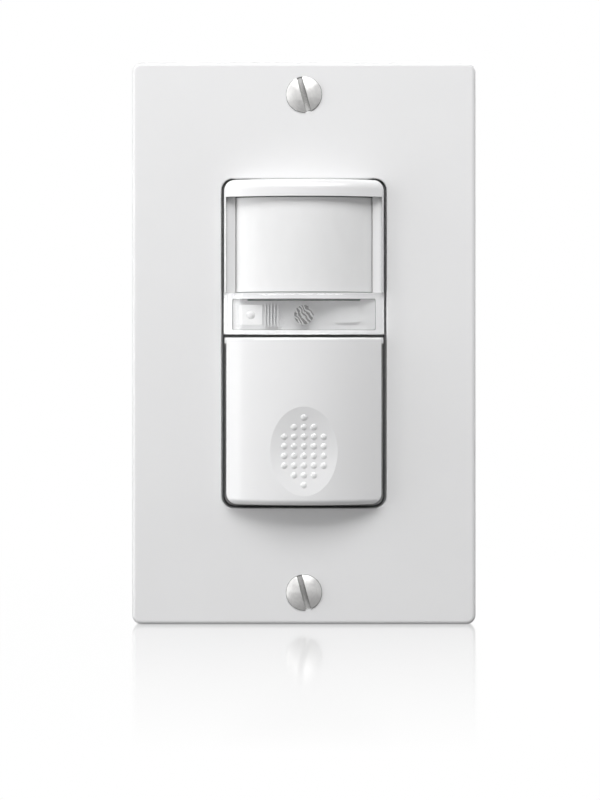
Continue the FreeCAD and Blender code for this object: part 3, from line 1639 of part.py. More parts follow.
def rounded_block(name, x, z, width, length, height):
    """A moulded component on the power board, its front edges rounded."""
    body = new_body(name)
    sketch = front_sketch(body, name + "_outline", ZERO)
    draw_box(sketch, -width / 2, width / 2, -height / 2, height / 2, d.body_rounding)
    pad(body, sketch, length)
    round_edges(body, name + "_edge", d.body_rounding, lambda edge: edge_in_plane(edge, "y", -length))
    place(body, x, POWER_FRONT, z)
    keep(body, name)


def make_board_blocks():
    rounded_block("relay", RELAY_PLACE, d.relay_level, d.relay_width, d.relay_length, d.relay_height)
    rounded_block("film_capacitor", FILM_PLACE, -d.film_level, d.film_width, d.film_height,
                  d.film_thickness)
    rounded_block("bridge_rectifier", -d.bridge_place, d.bridge_level, d.bridge_width,
                  d.bridge_thickness, d.bridge_height)


def make_bulk_capacitor():
    body = new_body("bulk_capacitor")
    profile = plan_sketch(body, "bulk_profile", ZERO)
    edge = d.body_rounding
    groove = d.bulk_radius - d.body_rounding
    trace(profile, [
        (ZERO, -d.bulk_length),
        (d.bulk_radius - edge, -d.bulk_length, edge),
        (d.bulk_radius, -d.bulk_length + edge),
        (d.bulk_radius, -d.bulk_groove_place - 3 * edge),
        (groove, -d.bulk_groove_place - 2 * edge),
        (d.bulk_radius, -d.bulk_groove_place - edge),
        (d.bulk_radius, ZERO),
        (ZERO, ZERO),
    ])
    turn(body, profile, "V_Axis")
    place(body, BULK_PLACE, POWER_FRONT, -d.bulk_level)
    keep(body, "bulk_capacitor")


def make_choke():
    body = new_body("choke_core")
    profile = plan_sketch(body, "choke_profile", ZERO)
    trace(profile, [
        (ZERO, -d.choke_length),
        (d.choke_radius, -d.choke_length),
        (d.choke_radius, -d.choke_length + d.choke_cheek),
        (d.choke_core_radius, -d.choke_length + d.choke_cheek),
        (d.choke_core_radius, -d.choke_cheek),
        (d.choke_radius, -d.choke_cheek),
        (d.choke_radius, ZERO),
        (ZERO, ZERO),
    ])
    turn(body, profile, "V_Axis")
    place(body, CHOKE_PLACE, POWER_FRONT, d.choke_level)
    keep(body, "choke_core")
    front = POWER_FRONT - d.choke_length + d.choke_cheek + d.part_gap / 2
    length = d.choke_length - 2 * d.choke_cheek - d.part_gap
    coil = add_cylinder("winding_outside", CHOKE_PLACE, front, d.choke_level,
                        d.choke_winding_radius, length)
    bore = add_cylinder("winding_bore", CHOKE_PLACE, front, d.choke_level,
                        d.choke_core_radius + d.part_gap / 2, length)
    keep(subtract("winding_whole", coil, bore), "choke_winding")


def make_varistor():
    disc = doc.addObject("Part::Cylinder", "varistor_disc")
    bind(disc, Radius=d.varistor_radius, Height=d.varistor_thickness)
    place(disc, d.varistor_place, POWER_FRONT - d.varistor_radius - d.seat_gap,
          -d.varistor_level - d.varistor_thickness / 2)
    keep(disc, "varistor")


def make_fuse():
    tube = doc.addObject("Part::Cylinder", "fuse_tube")
    bind(tube, Radius=d.fuse_radius, Height=d.fuse_length)
    place(tube, d.fuse_place, POWER_FRONT - d.fuse_radius - d.seat_gap, d.fuse_level - d.fuse_length / 2)
    keep(tube, "fuse")


# Rear housing and terminals

def add_pockets(body):
    """The outward pockets that hold the terminals."""
    outer_height = d.pocket_height / 2 + d.pocket_wall
    front = d.terminal_depth - d.pocket_length / 2
    rear = d.terminal_depth + d.pocket_length / 2
    for number, (side, level) in enumerate(TERMINALS):
        middle = level * d.terminal_level
        block = side_sketch(body, f"pocket_block_{number}", side * POCKET_INNER)
        draw_box(block, front - d.pocket_wall, rear + d.pocket_wall, middle - outer_height,
                 middle + outer_height)
        pad(body, block, HOUSING_HALF_WIDTH - d.housing_wall / 2 - POCKET_INNER, side < 0)
        room = side_sketch(body, f"pocket_room_{number}", side * POCKET_FLOOR)
        draw_box(room, front, rear, middle - d.pocket_height / 2, middle + d.pocket_height / 2,
                 d.pocket_corner)
        cut(body, room, HOUSING_HALF_WIDTH - POCKET_FLOOR + MARGIN, side > 0)
        slot = side_sketch(body, f"pocket_slot_{number}", side * (POCKET_FLOOR - d.slot_clearance))
        along = d.tail_width / 2 + d.slot_clearance
        draw_box(slot, rear - MARGIN, rear + d.pocket_wall + MARGIN, middle - along, middle + along)
        cut(body, slot, d.terminal_thickness + 2 * d.slot_clearance, side > 0)


def add_housing_posts(body):
    """The screw posts in the corners, bored through, and their counterbores."""
    posts = front_sketch(body, "housing_posts", HOUSING_FLOOR)
    bores = front_sketch(body, "housing_bores", d.flange_thickness)
    counterbores = front_sketch(body, "housing_counterbores", HOUSING_BACK)
    for side in (1, -1):
        for other in (1, -1):
            x = side * POST_PLACE
            z = other * POST_LEVEL
            draw_circle(posts, x, z, d.housing_post_radius)
            draw_circle(bores, x, z, d.long_screw_radius + d.long_screw_clearance)
            draw_circle(counterbores, x, z, d.counterbore_radius)
    pad(body, posts, HOUSING_FLOOR - d.flange_thickness)
    cut(body, bores, d.housing_depth)
    cut(body, counterbores, d.counterbore_depth, True)


def make_rear_housing():
    body = new_body("rear_housing")
    outline = front_sketch(body, "housing_outline", HOUSING_BACK)
    draw_box(outline, -HOUSING_HALF_WIDTH, HOUSING_HALF_WIDTH, -HOUSING_HALF_HEIGHT, HOUSING_HALF_HEIGHT,
             d.flange_corner)
    pad(body, outline, d.housing_depth)
    round_edges(body, "housing_rear_edge", d.housing_rear_rounding,
                lambda edge: edge_in_plane(edge, "y", HOUSING_BACK))
    hollow = front_sketch(body, "housing_hollow", d.flange_thickness)
    across = HOUSING_HALF_WIDTH - d.housing_wall
    along = HOUSING_HALF_HEIGHT - d.housing_wall
    draw_box(hollow, -across, across, -along, along, d.flange_corner / 2)
    cut(body, hollow, d.housing_depth - d.housing_floor)
    add_pockets(body)
    add_housing_posts(body)
    for name, front, radius in (("housing_bosses", POWER_BACK, d.peg_boss_radius),
                                ("housing_pegs", POWER_BACK - d.housing_peg_length, d.peg_radius)):
        sketch = front_sketch(body, name, HOUSING_FLOOR)
        for side in (1, -1):
            for other in (1, -1):
                draw_circle(sketch, side * PEG_PLACE, other * PEG_LEVEL, radius)
        pad(body, sketch, HOUSING_FLOOR - front)
    keep(body, "rear_housing")


def make_housing_screws():
    screws = []
    seat = HOUSING_BACK - d.counterbore_depth
    for side in (1, -1):
        for other in (1, -1):
            name = f"long_screw_{side + 1}_{other + 1}"
            body = new_body(name)
            profile = plan_sketch(body, name + "_profile", ZERO)
            head = seat + d.long_head_height
            edge = d.long_head_height / 2
            trace(profile, [
                (ZERO, STRAP_FRONT),
                (d.long_screw_radius, STRAP_FRONT),
                (d.long_screw_radius, seat),
                (d.long_head_radius, seat),
                (d.long_head_radius, head - edge, edge),
                (d.long_head_radius - edge, head),
                (ZERO, head),
            ])
            turn(body, profile, "V_Axis")
            slot = front_sketch(body, name + "_slot", head)
            half = d.long_slot_width / 2
            draw_box(slot, -d.long_head_radius, d.long_head_radius, -half, half)
            cut(body, slot, d.long_head_height / 2, True)
            place(body, side * POST_PLACE, ZERO, other * POST_LEVEL)
            screws.append(body)
    keep(group("long_screw_set", screws), "housing_screws")


def make_terminal_plates():
    plates = []
    for number, (side, level) in enumerate(TERMINALS):
        body = new_body(f"terminal_plate_{number}")
        z = level * d.terminal_level
        rear = d.terminal_depth + d.terminal_width / 2
        outline = side_sketch(body, f"terminal_outline_{number}", side * POCKET_FLOOR)
        tail = d.tail_width / 2
        half = d.terminal_width / 2
        end = POWER_BACK + d.tail_reach
        trace(outline, [
            (d.terminal_depth - half, z - half),
            (rear, z - half),
            (rear, z - tail),
            (end, z - tail),
            (end, z + tail),
            (rear, z + tail),
            (rear, z + half),
            (d.terminal_depth - half, z + half),
        ])
        draw_circle(outline, d.terminal_depth, z, d.thread_radius + d.thread_clearance)
        pad(body, outline, d.terminal_thickness, side < 0)
        plates.append(body)
    keep(group("terminal_plate_set", plates), "terminal_plates")


def terminal_seat():
    """Distance across of the terminal screws' seat."""
    return HOUSING_HALF_WIDTH - d.head_inset - d.terminal_head_height


def make_terminal_clamps():
    clamps = []
    for number, (side, level) in enumerate(TERMINALS):
        z = level * d.terminal_level
        body = new_body(f"terminal_clamp_{number}")
        outline = side_sketch(body, f"clamp_outline_{number}", side * (terminal_seat() - d.washer_thickness))
        half = d.clamp_width / 2
        draw_box(outline, d.terminal_depth - half, d.terminal_depth + half, z - half, z + half, 0.8)
        draw_circle(outline, d.terminal_depth, z, d.thread_radius + d.thread_clearance)
        pad(body, outline, d.washer_thickness, side < 0)
        clamps.append(body)
    keep(group("terminal_clamp_set", clamps), "terminal_clamps")


def make_terminal_screws():
    screws = []
    length = terminal_seat() - POCKET_FLOOR - d.part_gap
    for number, (side, level) in enumerate(TERMINALS):
        body = side_screw(f"terminal_screw_{number}", d.terminal_head_radius, d.terminal_head_height, length)
        if side < 0:
            body.Placement = FreeCAD.Placement(Vector(), FreeCAD.Rotation(Vector(0, 0, 1), 180))
        place(body, side * terminal_seat(), d.terminal_depth, level * d.terminal_level)
        screws.append(body)
    keep(group("terminal_screw_set", screws), "terminal_screws")


# Build, test and write

def check_document():
    """Stop if an object failed or a sub-part has no valid shape."""
    for item in doc.Objects:
        for word in ("Invalid", "Error"):
            if word in item.State:
                raise RuntimeError(f"{item.Label} is {item.State}")
    for item in pieces:
        if item.Shape.isNull() or not item.Shape.Solids or not item.Shape.isValid():
            raise RuntimeError(f"{item.Label} has no valid shape")


def main():
    write_sheet()
    make_wall_plate()
    make_plate_screws()
    make_yoke()
    make_box_screws()
    make_screw_retainers()
    make_ground_screw()
    make_ground_clamp()
    make_front_frame()
    make_fresnel_lens()
    make_light_window()
    make_sensor_bezel()
    make_photocell()
    make_photocell_leads()
    make_light_pipe()
    make_button_paddle()
    make_hinge_pin()
    make_return_spring()
    make_logic_board()
    make_status_led()
    make_pir_can()
    make_pir_filter()
    make_pir_leads()
    make_pir_holder()
    make_microcontroller()
    make_chip_parts()
    make_tact_switch()
    make_tact_plunger()
    make_trimmer("time", -1)
    make_trimmer("light", 1)
    make_power_board()
    make_header()
    make_board_blocks()
    make_bulk_capacitor()
    make_choke()
    make_varistor()
    make_fuse()
    make_rear_housing()
    make_housing_screws()
    make_terminal_plates()
    make_terminal_clamps()
    make_terminal_screws()
    doc.recompute()
    check_document()
    os.makedirs("parts", exist_ok=True)
    for item in pieces:
        item.Shape.exportStep(f"parts/{item.Label}.step")
        print(item.Label, len(item.Shape.Solids), round(item.Shape.Volume, 2))


main()
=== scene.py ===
import math

import bmesh
import bpy
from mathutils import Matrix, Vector


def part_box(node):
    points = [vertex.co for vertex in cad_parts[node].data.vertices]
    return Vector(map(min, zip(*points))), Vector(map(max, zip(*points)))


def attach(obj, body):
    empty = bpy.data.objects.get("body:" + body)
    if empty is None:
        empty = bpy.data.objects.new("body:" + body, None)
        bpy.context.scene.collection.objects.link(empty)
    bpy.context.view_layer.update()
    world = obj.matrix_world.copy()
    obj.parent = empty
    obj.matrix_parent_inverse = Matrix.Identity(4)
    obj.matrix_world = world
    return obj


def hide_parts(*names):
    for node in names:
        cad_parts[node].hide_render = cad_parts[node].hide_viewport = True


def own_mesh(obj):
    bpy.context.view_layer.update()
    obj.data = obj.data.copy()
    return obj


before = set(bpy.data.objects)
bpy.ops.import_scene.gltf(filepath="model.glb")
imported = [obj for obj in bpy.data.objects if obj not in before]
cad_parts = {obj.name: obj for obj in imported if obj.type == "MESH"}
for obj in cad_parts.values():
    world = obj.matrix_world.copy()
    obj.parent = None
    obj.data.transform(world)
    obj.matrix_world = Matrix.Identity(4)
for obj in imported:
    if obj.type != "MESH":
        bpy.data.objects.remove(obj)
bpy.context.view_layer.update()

# The camera's place and view, in metres, and its sensor in millimetres
PLATE_FRONT = -0.0056
CAMERA_DISTANCE = 0.530
CAMERA_LEVEL = 0.0
VIEW_HEIGHT = 0.1626
VIEW_CENTRE = (-0.0008, -0.0115)
CLIP_START = 0.01
CLIP_END = 20
SENSOR = 36.0

# The floor, and the low walls round it that only reflections show
FLOOR_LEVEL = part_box("wall_plate")[0].z
FLOOR_REACH = 4.0
WALL_REACH = 2.0
WALL_HEIGHT = 0.5

# The floor's mirror: how strong it is at the plate, how far off it ends and how it stretches sideways
MIRROR_SHARE = 0.95
MIRROR_REACH = 0.17
MIRROR_STRETCH = (0.4, 1.0, 0.0)

# Each lamp's name, place, width and height, and power in watts; all of them face the origin
LAMPS = (
    ("key", (0.0, -0.49, 0.595), (0.66, 0.40), 4.75),
    ("side", (-0.70, -0.23, 0.08), (0.30, 0.70), 2.7),
    ("strip", (-0.57, -0.44, 0.06), (0.07, 0.60), 0.4),
    ("fill", (0.70, -0.12, 0.05), (0.20, 0.60), 0.25),
    ("back", (0.30, 0.60, 0.42), (0.50, 0.40), 5.0),
)

# The soft light from all round: the direction, from 0 straight down to 1 straight up, and its strength
SKY = ((0.12, 0.23), (0.42, 0.2125), (0.58, 0.25), (0.95, 0.34))

# Painted shade in gaps: how open a spot is, from 0 deep in a gap to 1 in the open, and how much of its tone
# is left there
GAP_SHADE_TONES = ((0.12, 0.0), (0.36, 0.5), (0.55, 1.0))
GAP_SHADE_SAMPLES = 6

# The gaps at the insert's head, which light falls into, where the painted gap shade is made paler: middle
# and half across, then upward
PALE_ACROSS = (-0.0004, 0.0139)
PALE_UPWARD = (0.0330, 0.0055)
PALE_EDGE = 0.0006
# How much of the painted gap shade is taken away at the head
PALER = 0.8

# Where nearly all of a noise texture's values lie
NOISE_RANGE = (0.3, 0.7)

# The wire of the choke's winding
WIRE_RADIUS = 0.00025
WIRE_SIDES = 8
STEPS_A_TURN = 28

# The panel and the grooves in the housing's back: half width and height, places and depths
PANEL_HALF = Vector((0.0155, 0.0125))
PANEL_MIDDLE = -0.006
PANEL_DEPTH = 0.0004
GROOVES = 7
GROOVE_FIRST = 0.0104
GROOVE_PITCH = 0.0026
GROOVE_ASIDE = 0.0075
GROOVE_HALF = Vector((0.0058, 0.00045))
GROOVE_DEPTH = 0.0008

# Corners that meet within WELD are one, and edges that bend less than FLAT_ANGLE are none
WELD = 0.000002
FLAT_ANGLE = math.radians(0.5)
SHARP_ANGLE = math.radians(30)

BOX_FACES = ((0, 1, 3, 2), (4, 6, 7, 5), (0, 4, 5, 1), (2, 3, 7, 6), (0, 2, 6, 4), (1, 5, 7, 3))


# Node helpers

def set_inputs(node, values):
    """Fixed values on a node's named inputs."""
    for name, value in values.items():
        node.inputs[name].default_value = value


def new_material(slot):
    """The material of a slot, emptied, with its shader and output linked."""
    material = bpy.data.materials.get(slot) or bpy.data.materials.new(slot)
    material.use_nodes = True
    tree = material.node_tree
    tree.nodes.clear()
    output = tree.nodes.new("ShaderNodeOutputMaterial")
    shader = tree.nodes.new("ShaderNodeBsdfPrincipled")
    tree.links.new(shader.outputs["BSDF"], output.inputs["Surface"])
    return tree, shader


def place_texture(tree, scale, kind="ShaderNodeTexNoise", stretch=(1, 1, 1), turn=(0, 0, 0)):
    """A procedural texture in the object's own place; scale is in repeats per metre."""
    spot = tree.nodes.new("ShaderNodeTexCoord")
    mapping = tree.nodes.new("ShaderNodeMapping")
    set_inputs(mapping, {"Scale": stretch, "Rotation": turn})
    texture = tree.nodes.new(kind)
    set_inputs(texture, {"Scale": scale})
    tree.links.new(spot.outputs["Object"], mapping.inputs["Vector"])
    tree.links.new(mapping.outputs["Vector"], texture.inputs["Vector"])
    return texture


def grey(level):
    return (level,) * 3


def shade(colour, factor):
    """The colour made darker or paler, and no channel of it over one."""
    return tuple(min(1.0, channel * factor) for channel in colour)


def ramp(tree, source, stops):
    """A colour that follows the source through the given (place, colour) stops."""
    node = tree.nodes.new("ShaderNodeValToRGB")
    elements = node.color_ramp.elements
    for element, (place, colour) in zip(elements, (stops[0], stops[-1])):
        element.position = place
        element.color = (*colour, 1)
    for place, colour in stops[1:-1]:
        elements.new(place).color = (*colour, 1)
    tree.links.new(source, node.inputs["Fac"])
    return node.outputs["Color"]


def drift_of(tree, source, colour, vary, start=NOISE_RANGE[0], end=NOISE_RANGE[1]):
    """The colour, a little darker where the source is low and a little paler where it is high."""
    return ramp(tree, source, [(start, shade(colour, 1 - vary)), (end, shade(colour, 1 + vary))])


def remap(tree, source, start, end, low=0.0, high=1.0):
    """A number that runs from low to high as the source runs from start to end."""
    node = tree.nodes.new("ShaderNodeMapRange")
    set_inputs(node, {"From Min": start, "From Max": end, "To Min": low, "To Max": high})
    tree.links.new(source, node.inputs["Value"])
    return node.outputs["Result"]


def number(tree, operation, first, second=None):
    """The result of a sum on two sockets or plain numbers."""
    node = tree.nodes.new("ShaderNodeMath")
    node.operation = operation
    for index, value in enumerate((first, second)):
        if isinstance(value, (int, float)):
            node.inputs[index].default_value = value
        elif value is not None:
            tree.links.new(value, node.inputs[index])
    return node.outputs["Value"]


def inside(tree, coordinate, centre, half, soft):
    """One where the coordinate is within half of centre, zero outside, with a soft edge."""
    distance = number(tree, "ABSOLUTE", number(tree, "SUBTRACT", coordinate, centre))
    return remap(tree, distance, half + soft, half - soft)


def uneven_gloss(tree, shader, source, low, high):
    """Roughness that follows the source from low to high."""
    tree.links.new(remap(tree, source, *NOISE_RANGE, low, high), shader.inputs["Roughness"])


def bump(tree, shader, source, depth, strength=1.0):
    """Relief of the given depth in metres on a shader's normal."""
    node = tree.nodes.new("ShaderNodeBump")
    set_inputs(node, {"Strength": strength, "Distance": depth})
    tree.links.new(source, node.inputs["Height"])
    tree.links.new(node.outputs["Normal"], shader.inputs["Normal"])


# Material families

def paint_gap_shade(tree, tone, reach):
    """The tone with painted shade: darkened deep in a gap narrower than reach, and less so at the insert's
    head.
    """
    hollow = tree.nodes.new("ShaderNodeAmbientOcclusion")
    hollow.samples = GAP_SHADE_SAMPLES
    set_inputs(hollow, {"Distance": reach})
    left = ramp(tree, hollow.outputs["AO"], [(place, grey(level)) for place, level in GAP_SHADE_TONES])
    spot = tree.nodes.new("ShaderNodeTexCoord")
    parts = tree.nodes.new("ShaderNodeSeparateXYZ")
    tree.links.new(spot.outputs["Object"], parts.inputs["Vector"])
    # Less painted shade at the insert's head, where light falls in
    head = number(tree, "MULTIPLY", inside(tree, parts.outputs["X"], *PALE_ACROSS, PALE_EDGE),
                  inside(tree, parts.outputs["Z"], *PALE_UPWARD, PALE_EDGE))
    share = number(tree, "SUBTRACT", 1.0, number(tree, "MULTIPLY", head, PALER))
    mix = tree.nodes.new("ShaderNodeMix")
    mix.data_type = "RGBA"
    mix.blend_type = "MULTIPLY"
    tree.links.new(share, mix.inputs["Factor"])
    tree.links.new(tone, mix.inputs["A"])
    tree.links.new(left, mix.inputs["B"])
    return mix.outputs["Result"]


def lay_tone(tree, shader, tone, shade_reach):
    """The tone on the shader, with painted shade in gaps narrower than the given reach, where one is given.
    """
    if shade_reach:
        tone = paint_gap_shade(tree, tone, shade_reach)
    tree.links.new(tone, shader.inputs["Base Color"])


def plastic(slot, colour, rough=0.35, vary=0.02, grain=2500, depth=0.000004, mottle=60, coat=0.0,
            shade_reach=0.0):
    """Moulded plastic: a hardly visible drift of tone, a fine moulded grain, uneven gloss and, where a
    reach is given, painted shade in gaps.
    """
    tree, shader = new_material(slot)
    drift = place_texture(tree, mottle)
    set_inputs(drift, {"Detail": 4})
    lay_tone(tree, shader, drift_of(tree, drift.outputs["Fac"], colour, vary), shade_reach)
    uneven_gloss(tree, shader, drift.outputs["Fac"], rough * 0.88, rough * 1.12)
    fine = place_texture(tree, grain)
    set_inputs(fine, {"Detail": 3})
    bump(tree, shader, fine.outputs["Fac"], depth)
    set_inputs(shader, {"IOR": 1.5, "Coat Weight": coat, "Coat Roughness": 0.14})


def metal(slot, colour, rough=0.3, grain=1800, stretch=(1, 1, 1), depth=0.000003, vary=0.06, spangle=0,
          shade_reach=0.0, metallic=1.0):
    """Plated or rolled metal: fine marks, uneven polish, crystal spangle on zinc coat and, where a reach is
    given, painted shade in gaps.
    """
    tree, shader = new_material(slot)
    set_inputs(shader, {"Metallic": metallic})
    marks = place_texture(tree, grain, stretch=stretch)
    set_inputs(marks, {"Detail": 5})
    if spangle:
        crystal = place_texture(tree, spangle, "ShaderNodeTexVoronoi")
        tone = drift_of(tree, crystal.outputs["Color"], colour, vary, 0.1, 0.9)
    else:
        tone = drift_of(tree, marks.outputs["Fac"], colour, vary)
    lay_tone(tree, shader, tone, shade_reach)
    uneven_gloss(tree, shader, marks.outputs["Fac"], rough * 0.75, rough * 1.3)
    bump(tree, shader, marks.outputs["Fac"], depth)


def clear_plastic(slot, tint, rough, passing, grain, depth):
    """Clear or milky moulding: how much light passes, its tint and its faint flow marks."""
    tree, shader = new_material(slot)
    flow = place_texture(tree, grain, stretch=(1, 1, 0.35))
    set_inputs(flow, {"Detail": 2})
    tone = ramp(tree, flow.outputs["Fac"], [(0.35, shade(tint, 0.985)), (0.65, tint)])
    tree.links.new(tone, shader.inputs["Base Color"])
    uneven_gloss(tree, shader, flow.outputs["Fac"], rough * 0.8, rough * 1.3)
    bump(tree, shader, flow.outputs["Fac"], depth)
    set_inputs(shader, {"Transmission Weight": passing, "IOR": 1.49})
    return shader


def circuit_board(slot):
    """Green solder mask over copper tracks, with a dull gloss."""
    tree, shader = new_material(slot)
    tracks = place_texture(tree, 260, "ShaderNodeTexBrick")
    set_inputs(tracks, {
        "Color1": (0.012, 0.105, 0.045, 1),
        "Color2": (0.016, 0.135, 0.055, 1),
        "Mortar": (0.03, 0.2, 0.08, 1),
        "Mortar Size": 0.035,
    })
    tree.links.new(tracks.outputs["Color"], shader.inputs["Base Color"])
    cloud = place_texture(tree, 500)
    uneven_gloss(tree, shader, cloud.outputs["Fac"], 0.28, 0.42)
    bump(tree, shader, tracks.outputs["Fac"], 0.00004, 0.4)


def ceramic_cell(slot):
    """The light cell's disc: a pale plate with dark winding tracks."""
    tree, shader = new_material(slot)
    bands = place_texture(tree, 430, "ShaderNodeTexWave", turn=(0, math.radians(38), 0))
    set_inputs(bands, {"Distortion": 7.0, "Detail": 1, "Detail Scale": 1.6})
    stops = [(0.25, grey(0.05)), (0.5, (0.17, 0.168, 0.166)), (0.75, grey(0.55))]
    tree.links.new(ramp(tree, bands.outputs["Fac"], stops), shader.inputs["Base Color"])
    uneven_gloss(tree, shader, bands.outputs["Fac"], 0.5, 0.18)
    bump(tree, shader, bands.outputs["Fac"], 0.00006, 0.6)


# Finish of every slot

def dress_whites():
    # The whites of the plate and the insert have painted shade in their gaps
    plastic("plate_white", (0.85, 0.85, 0.855), rough=0.42, vary=0.008, grain=3200, depth=0.0000025,
            coat=0.3, shade_reach=0.002)
    plastic("device_white", (0.86, 0.86, 0.865), rough=0.34, vary=0.008, grain=3600, depth=0.0000020,
            coat=0.8, shade_reach=0.002)
    plastic("button_white", (0.86, 0.86, 0.865), rough=0.33, vary=0.008, grain=3600, depth=0.0000020,
            coat=0.8, shade_reach=0.002)
    plastic("dial_white", (0.78, 0.78, 0.76), rough=0.45, vary=0.03)
    plastic("holder_white", (0.74, 0.74, 0.72), rough=0.5, vary=0.03)
    plastic("bezel_grey", (0.64, 0.642, 0.645), rough=0.4, vary=0.03, grain=1800, depth=0.00001)


def dress_clear():
    lens = clear_plastic("lens_milky", (0.925, 0.927, 0.93), 0.40, 0.06, 420, 0.000006)
    set_inputs(lens, {
        "Subsurface Weight": 0.35,
        "Subsurface Radius": grey(0.0012),
        "Coat Weight": 0.35,
        "Coat Roughness": 0.16,
    })
    clear_plastic("window_clear", (0.94, 0.942, 0.944), 0.045, 0.95, 240, 0.000002)
    clear_plastic("pipe_clear", (0.90, 0.90, 0.90), 0.45, 0.12, 900, 0.000006)
    for name in ("light_window", "light_pipe"):
        hide_from(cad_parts[name], "shadow")


def dress_metals():
    # The plate screws have painted shade in their slots
    metal("screw_nickel", (0.80, 0.795, 0.785), rough=0.40, grain=1500, stretch=(1, 6, 1), depth=0.000003,
          shade_reach=0.0022, metallic=0.6)
    metal("screw_zinc", (0.72, 0.73, 0.75), rough=0.32, grain=1300)
    metal("screw_green", (0.10, 0.42, 0.16), rough=0.32, grain=1300, vary=0.12)
    metal("yoke_zinc", (0.68, 0.69, 0.70), rough=0.38, grain=900, stretch=(1, 1, 4), vary=0.10,
          spangle=260)
    metal("clamp_steel", (0.60, 0.61, 0.62), rough=0.36, grain=1000, stretch=(6, 1, 1))
    metal("steel_pin", (0.66, 0.66, 0.66), rough=0.2, grain=1600, stretch=(0.2, 1, 1))
    metal("spring_steel", (0.62, 0.62, 0.62), rough=0.22, grain=2200)
    metal("can_nickel", (0.74, 0.73, 0.70), rough=0.26, grain=1500)
    metal("lead_tin", (0.76, 0.76, 0.75), rough=0.35, grain=1500)
    metal("terminal_brass", (0.80, 0.58, 0.26), rough=0.3, grain=1200, vary=0.10)
    metal("copper_wire", (0.78, 0.34, 0.16), rough=0.25, grain=1200, vary=0.12)


def dress_inner():
    plastic("housing_black", (0.024, 0.024, 0.025), rough=0.50, vary=0.15, grain=1400, depth=0.000018)
    plastic("chip_black", (0.02, 0.02, 0.021), rough=0.55, vary=0.2, grain=2400, depth=0.00001)
    plastic("switch_black", (0.025, 0.025, 0.026), rough=0.45, vary=0.2)
    plastic("plunger_black", (0.03, 0.03, 0.03), rough=0.4, vary=0.2)
    plastic("relay_black", (0.018, 0.018, 0.019), rough=0.38, vary=0.15)
    plastic("filter_dark", (0.02, 0.018, 0.025), rough=0.1, vary=0.1, grain=800, depth=0.000002)
    plastic("retainer_fibre", (0.30, 0.20, 0.12), rough=0.8, vary=0.2, grain=900, depth=0.00003,
            mottle=700)
    plastic("trimmer_blue", (0.03, 0.12, 0.45), rough=0.38, vary=0.08)
    plastic("varistor_blue", (0.03, 0.14, 0.42), rough=0.3, vary=0.1)
    plastic("film_yellow", (0.80, 0.58, 0.06), rough=0.32, vary=0.06)
    plastic("bulk_sleeve", (0.03, 0.03, 0.07), rough=0.25, vary=0.12)
    plastic("ferrite_grey", (0.09, 0.09, 0.095), rough=0.7, vary=0.2, grain=1200, depth=0.00003)
    plastic("fuse_tan", (0.62, 0.50, 0.34), rough=0.5, vary=0.08)
    plastic("chip_tan", (0.60, 0.52, 0.40), rough=0.5, vary=0.12)
    plastic("led_body", (0.85, 0.85, 0.78), rough=0.2, vary=0.03)
    circuit_board("board_green")
    ceramic_cell("cell_ceramic")


# Object and mesh helpers

def add_object(name, data):
    """A new object in the scene with the given data."""
    piece = bpy.data.objects.new(name, data)
    bpy.context.scene.collection.objects.link(piece)
    return piece


def copy_of(node, name):
    """A new piece with a copy of the node's mesh."""
    return add_object(name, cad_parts[node].data.copy())


def mesh_of(name, vertices, faces):
    mesh = bpy.data.meshes.new(name)
    mesh.from_pydata(vertices, [], faces)
    return mesh


def smooth(mesh):
    for polygon in mesh.polygons:
        polygon.use_smooth = True


def hide_from(piece, *rays):
    """The piece left out of the shadows, reflections or other rays that are named."""
    for ray in rays:
        setattr(piece, f"visible_{ray}", False)


def change_mesh(mesh, change):
    """The change made to the mesh, as a function of its editable copy."""
    shape = bmesh.new()
    shape.from_mesh(mesh)
    change(shape)
    shape.to_mesh(mesh)
    shape.free()


def weld(shape):
    """Faces that only touch are joined at their corners."""
    bmesh.ops.remove_doubles(shape, verts=shape.verts, dist=WELD)


def merge_flats(shape):
    """Faces that lie in one plane become one face."""
    bmesh.ops.dissolve_limit(shape, angle_limit=FLAT_ANGLE, verts=shape.verts, edges=shape.edges)


def settle(piece):
    """The piece's mesh as its modifiers leave it."""
    graph = bpy.context.evaluated_depsgraph_get()
    piece.data = bpy.data.meshes.new_from_object(piece.evaluated_get(graph), preserve_all_data_layers=True,
                                                 depsgraph=graph)
    piece.modifiers.clear()


# Pieces that stand for plain solids

def make_spring():
    """The return spring as its own copy of its solid, riding with the device."""
    coil = copy_of("return_spring", "spring_coil")
    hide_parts("return_spring")
    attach(coil, "device")
    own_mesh(coil)


def wire_along(name, points, axis):
    """A round wire through the points, which wind round the axis, as one mesh."""
    vertices = []
    faces = []
    for index, point in enumerate(points):
        before = points[max(index - 1, 0)]
        after = points[min(index + 1, len(points) - 1)]
        forward = (after - before).normalized()
        side = forward.cross(axis).normalized()
        over = side.cross(forward).normalized()
        for step in range(WIRE_SIDES):
            angle = 2 * math.pi * step / WIRE_SIDES
            vertices.append(point + side * (WIRE_RADIUS * math.cos(angle))
                            + over * (WIRE_RADIUS * math.sin(angle)))
    last = (len(points) - 1) * WIRE_SIDES
    for here in range(0, last, WIRE_SIDES):
        there = here + WIRE_SIDES
        for step in range(WIRE_SIDES):
            turn = (step + 1) % WIRE_SIDES
            faces.append((here + step, here + turn, there + turn, there + step))
    faces.append(tuple(reversed(range(WIRE_SIDES))))
    faces.append(tuple(range(last, last + WIRE_SIDES)))
    mesh = mesh_of(name, [tuple(vertex) for vertex in vertices], faces)
    smooth(mesh)
    return mesh


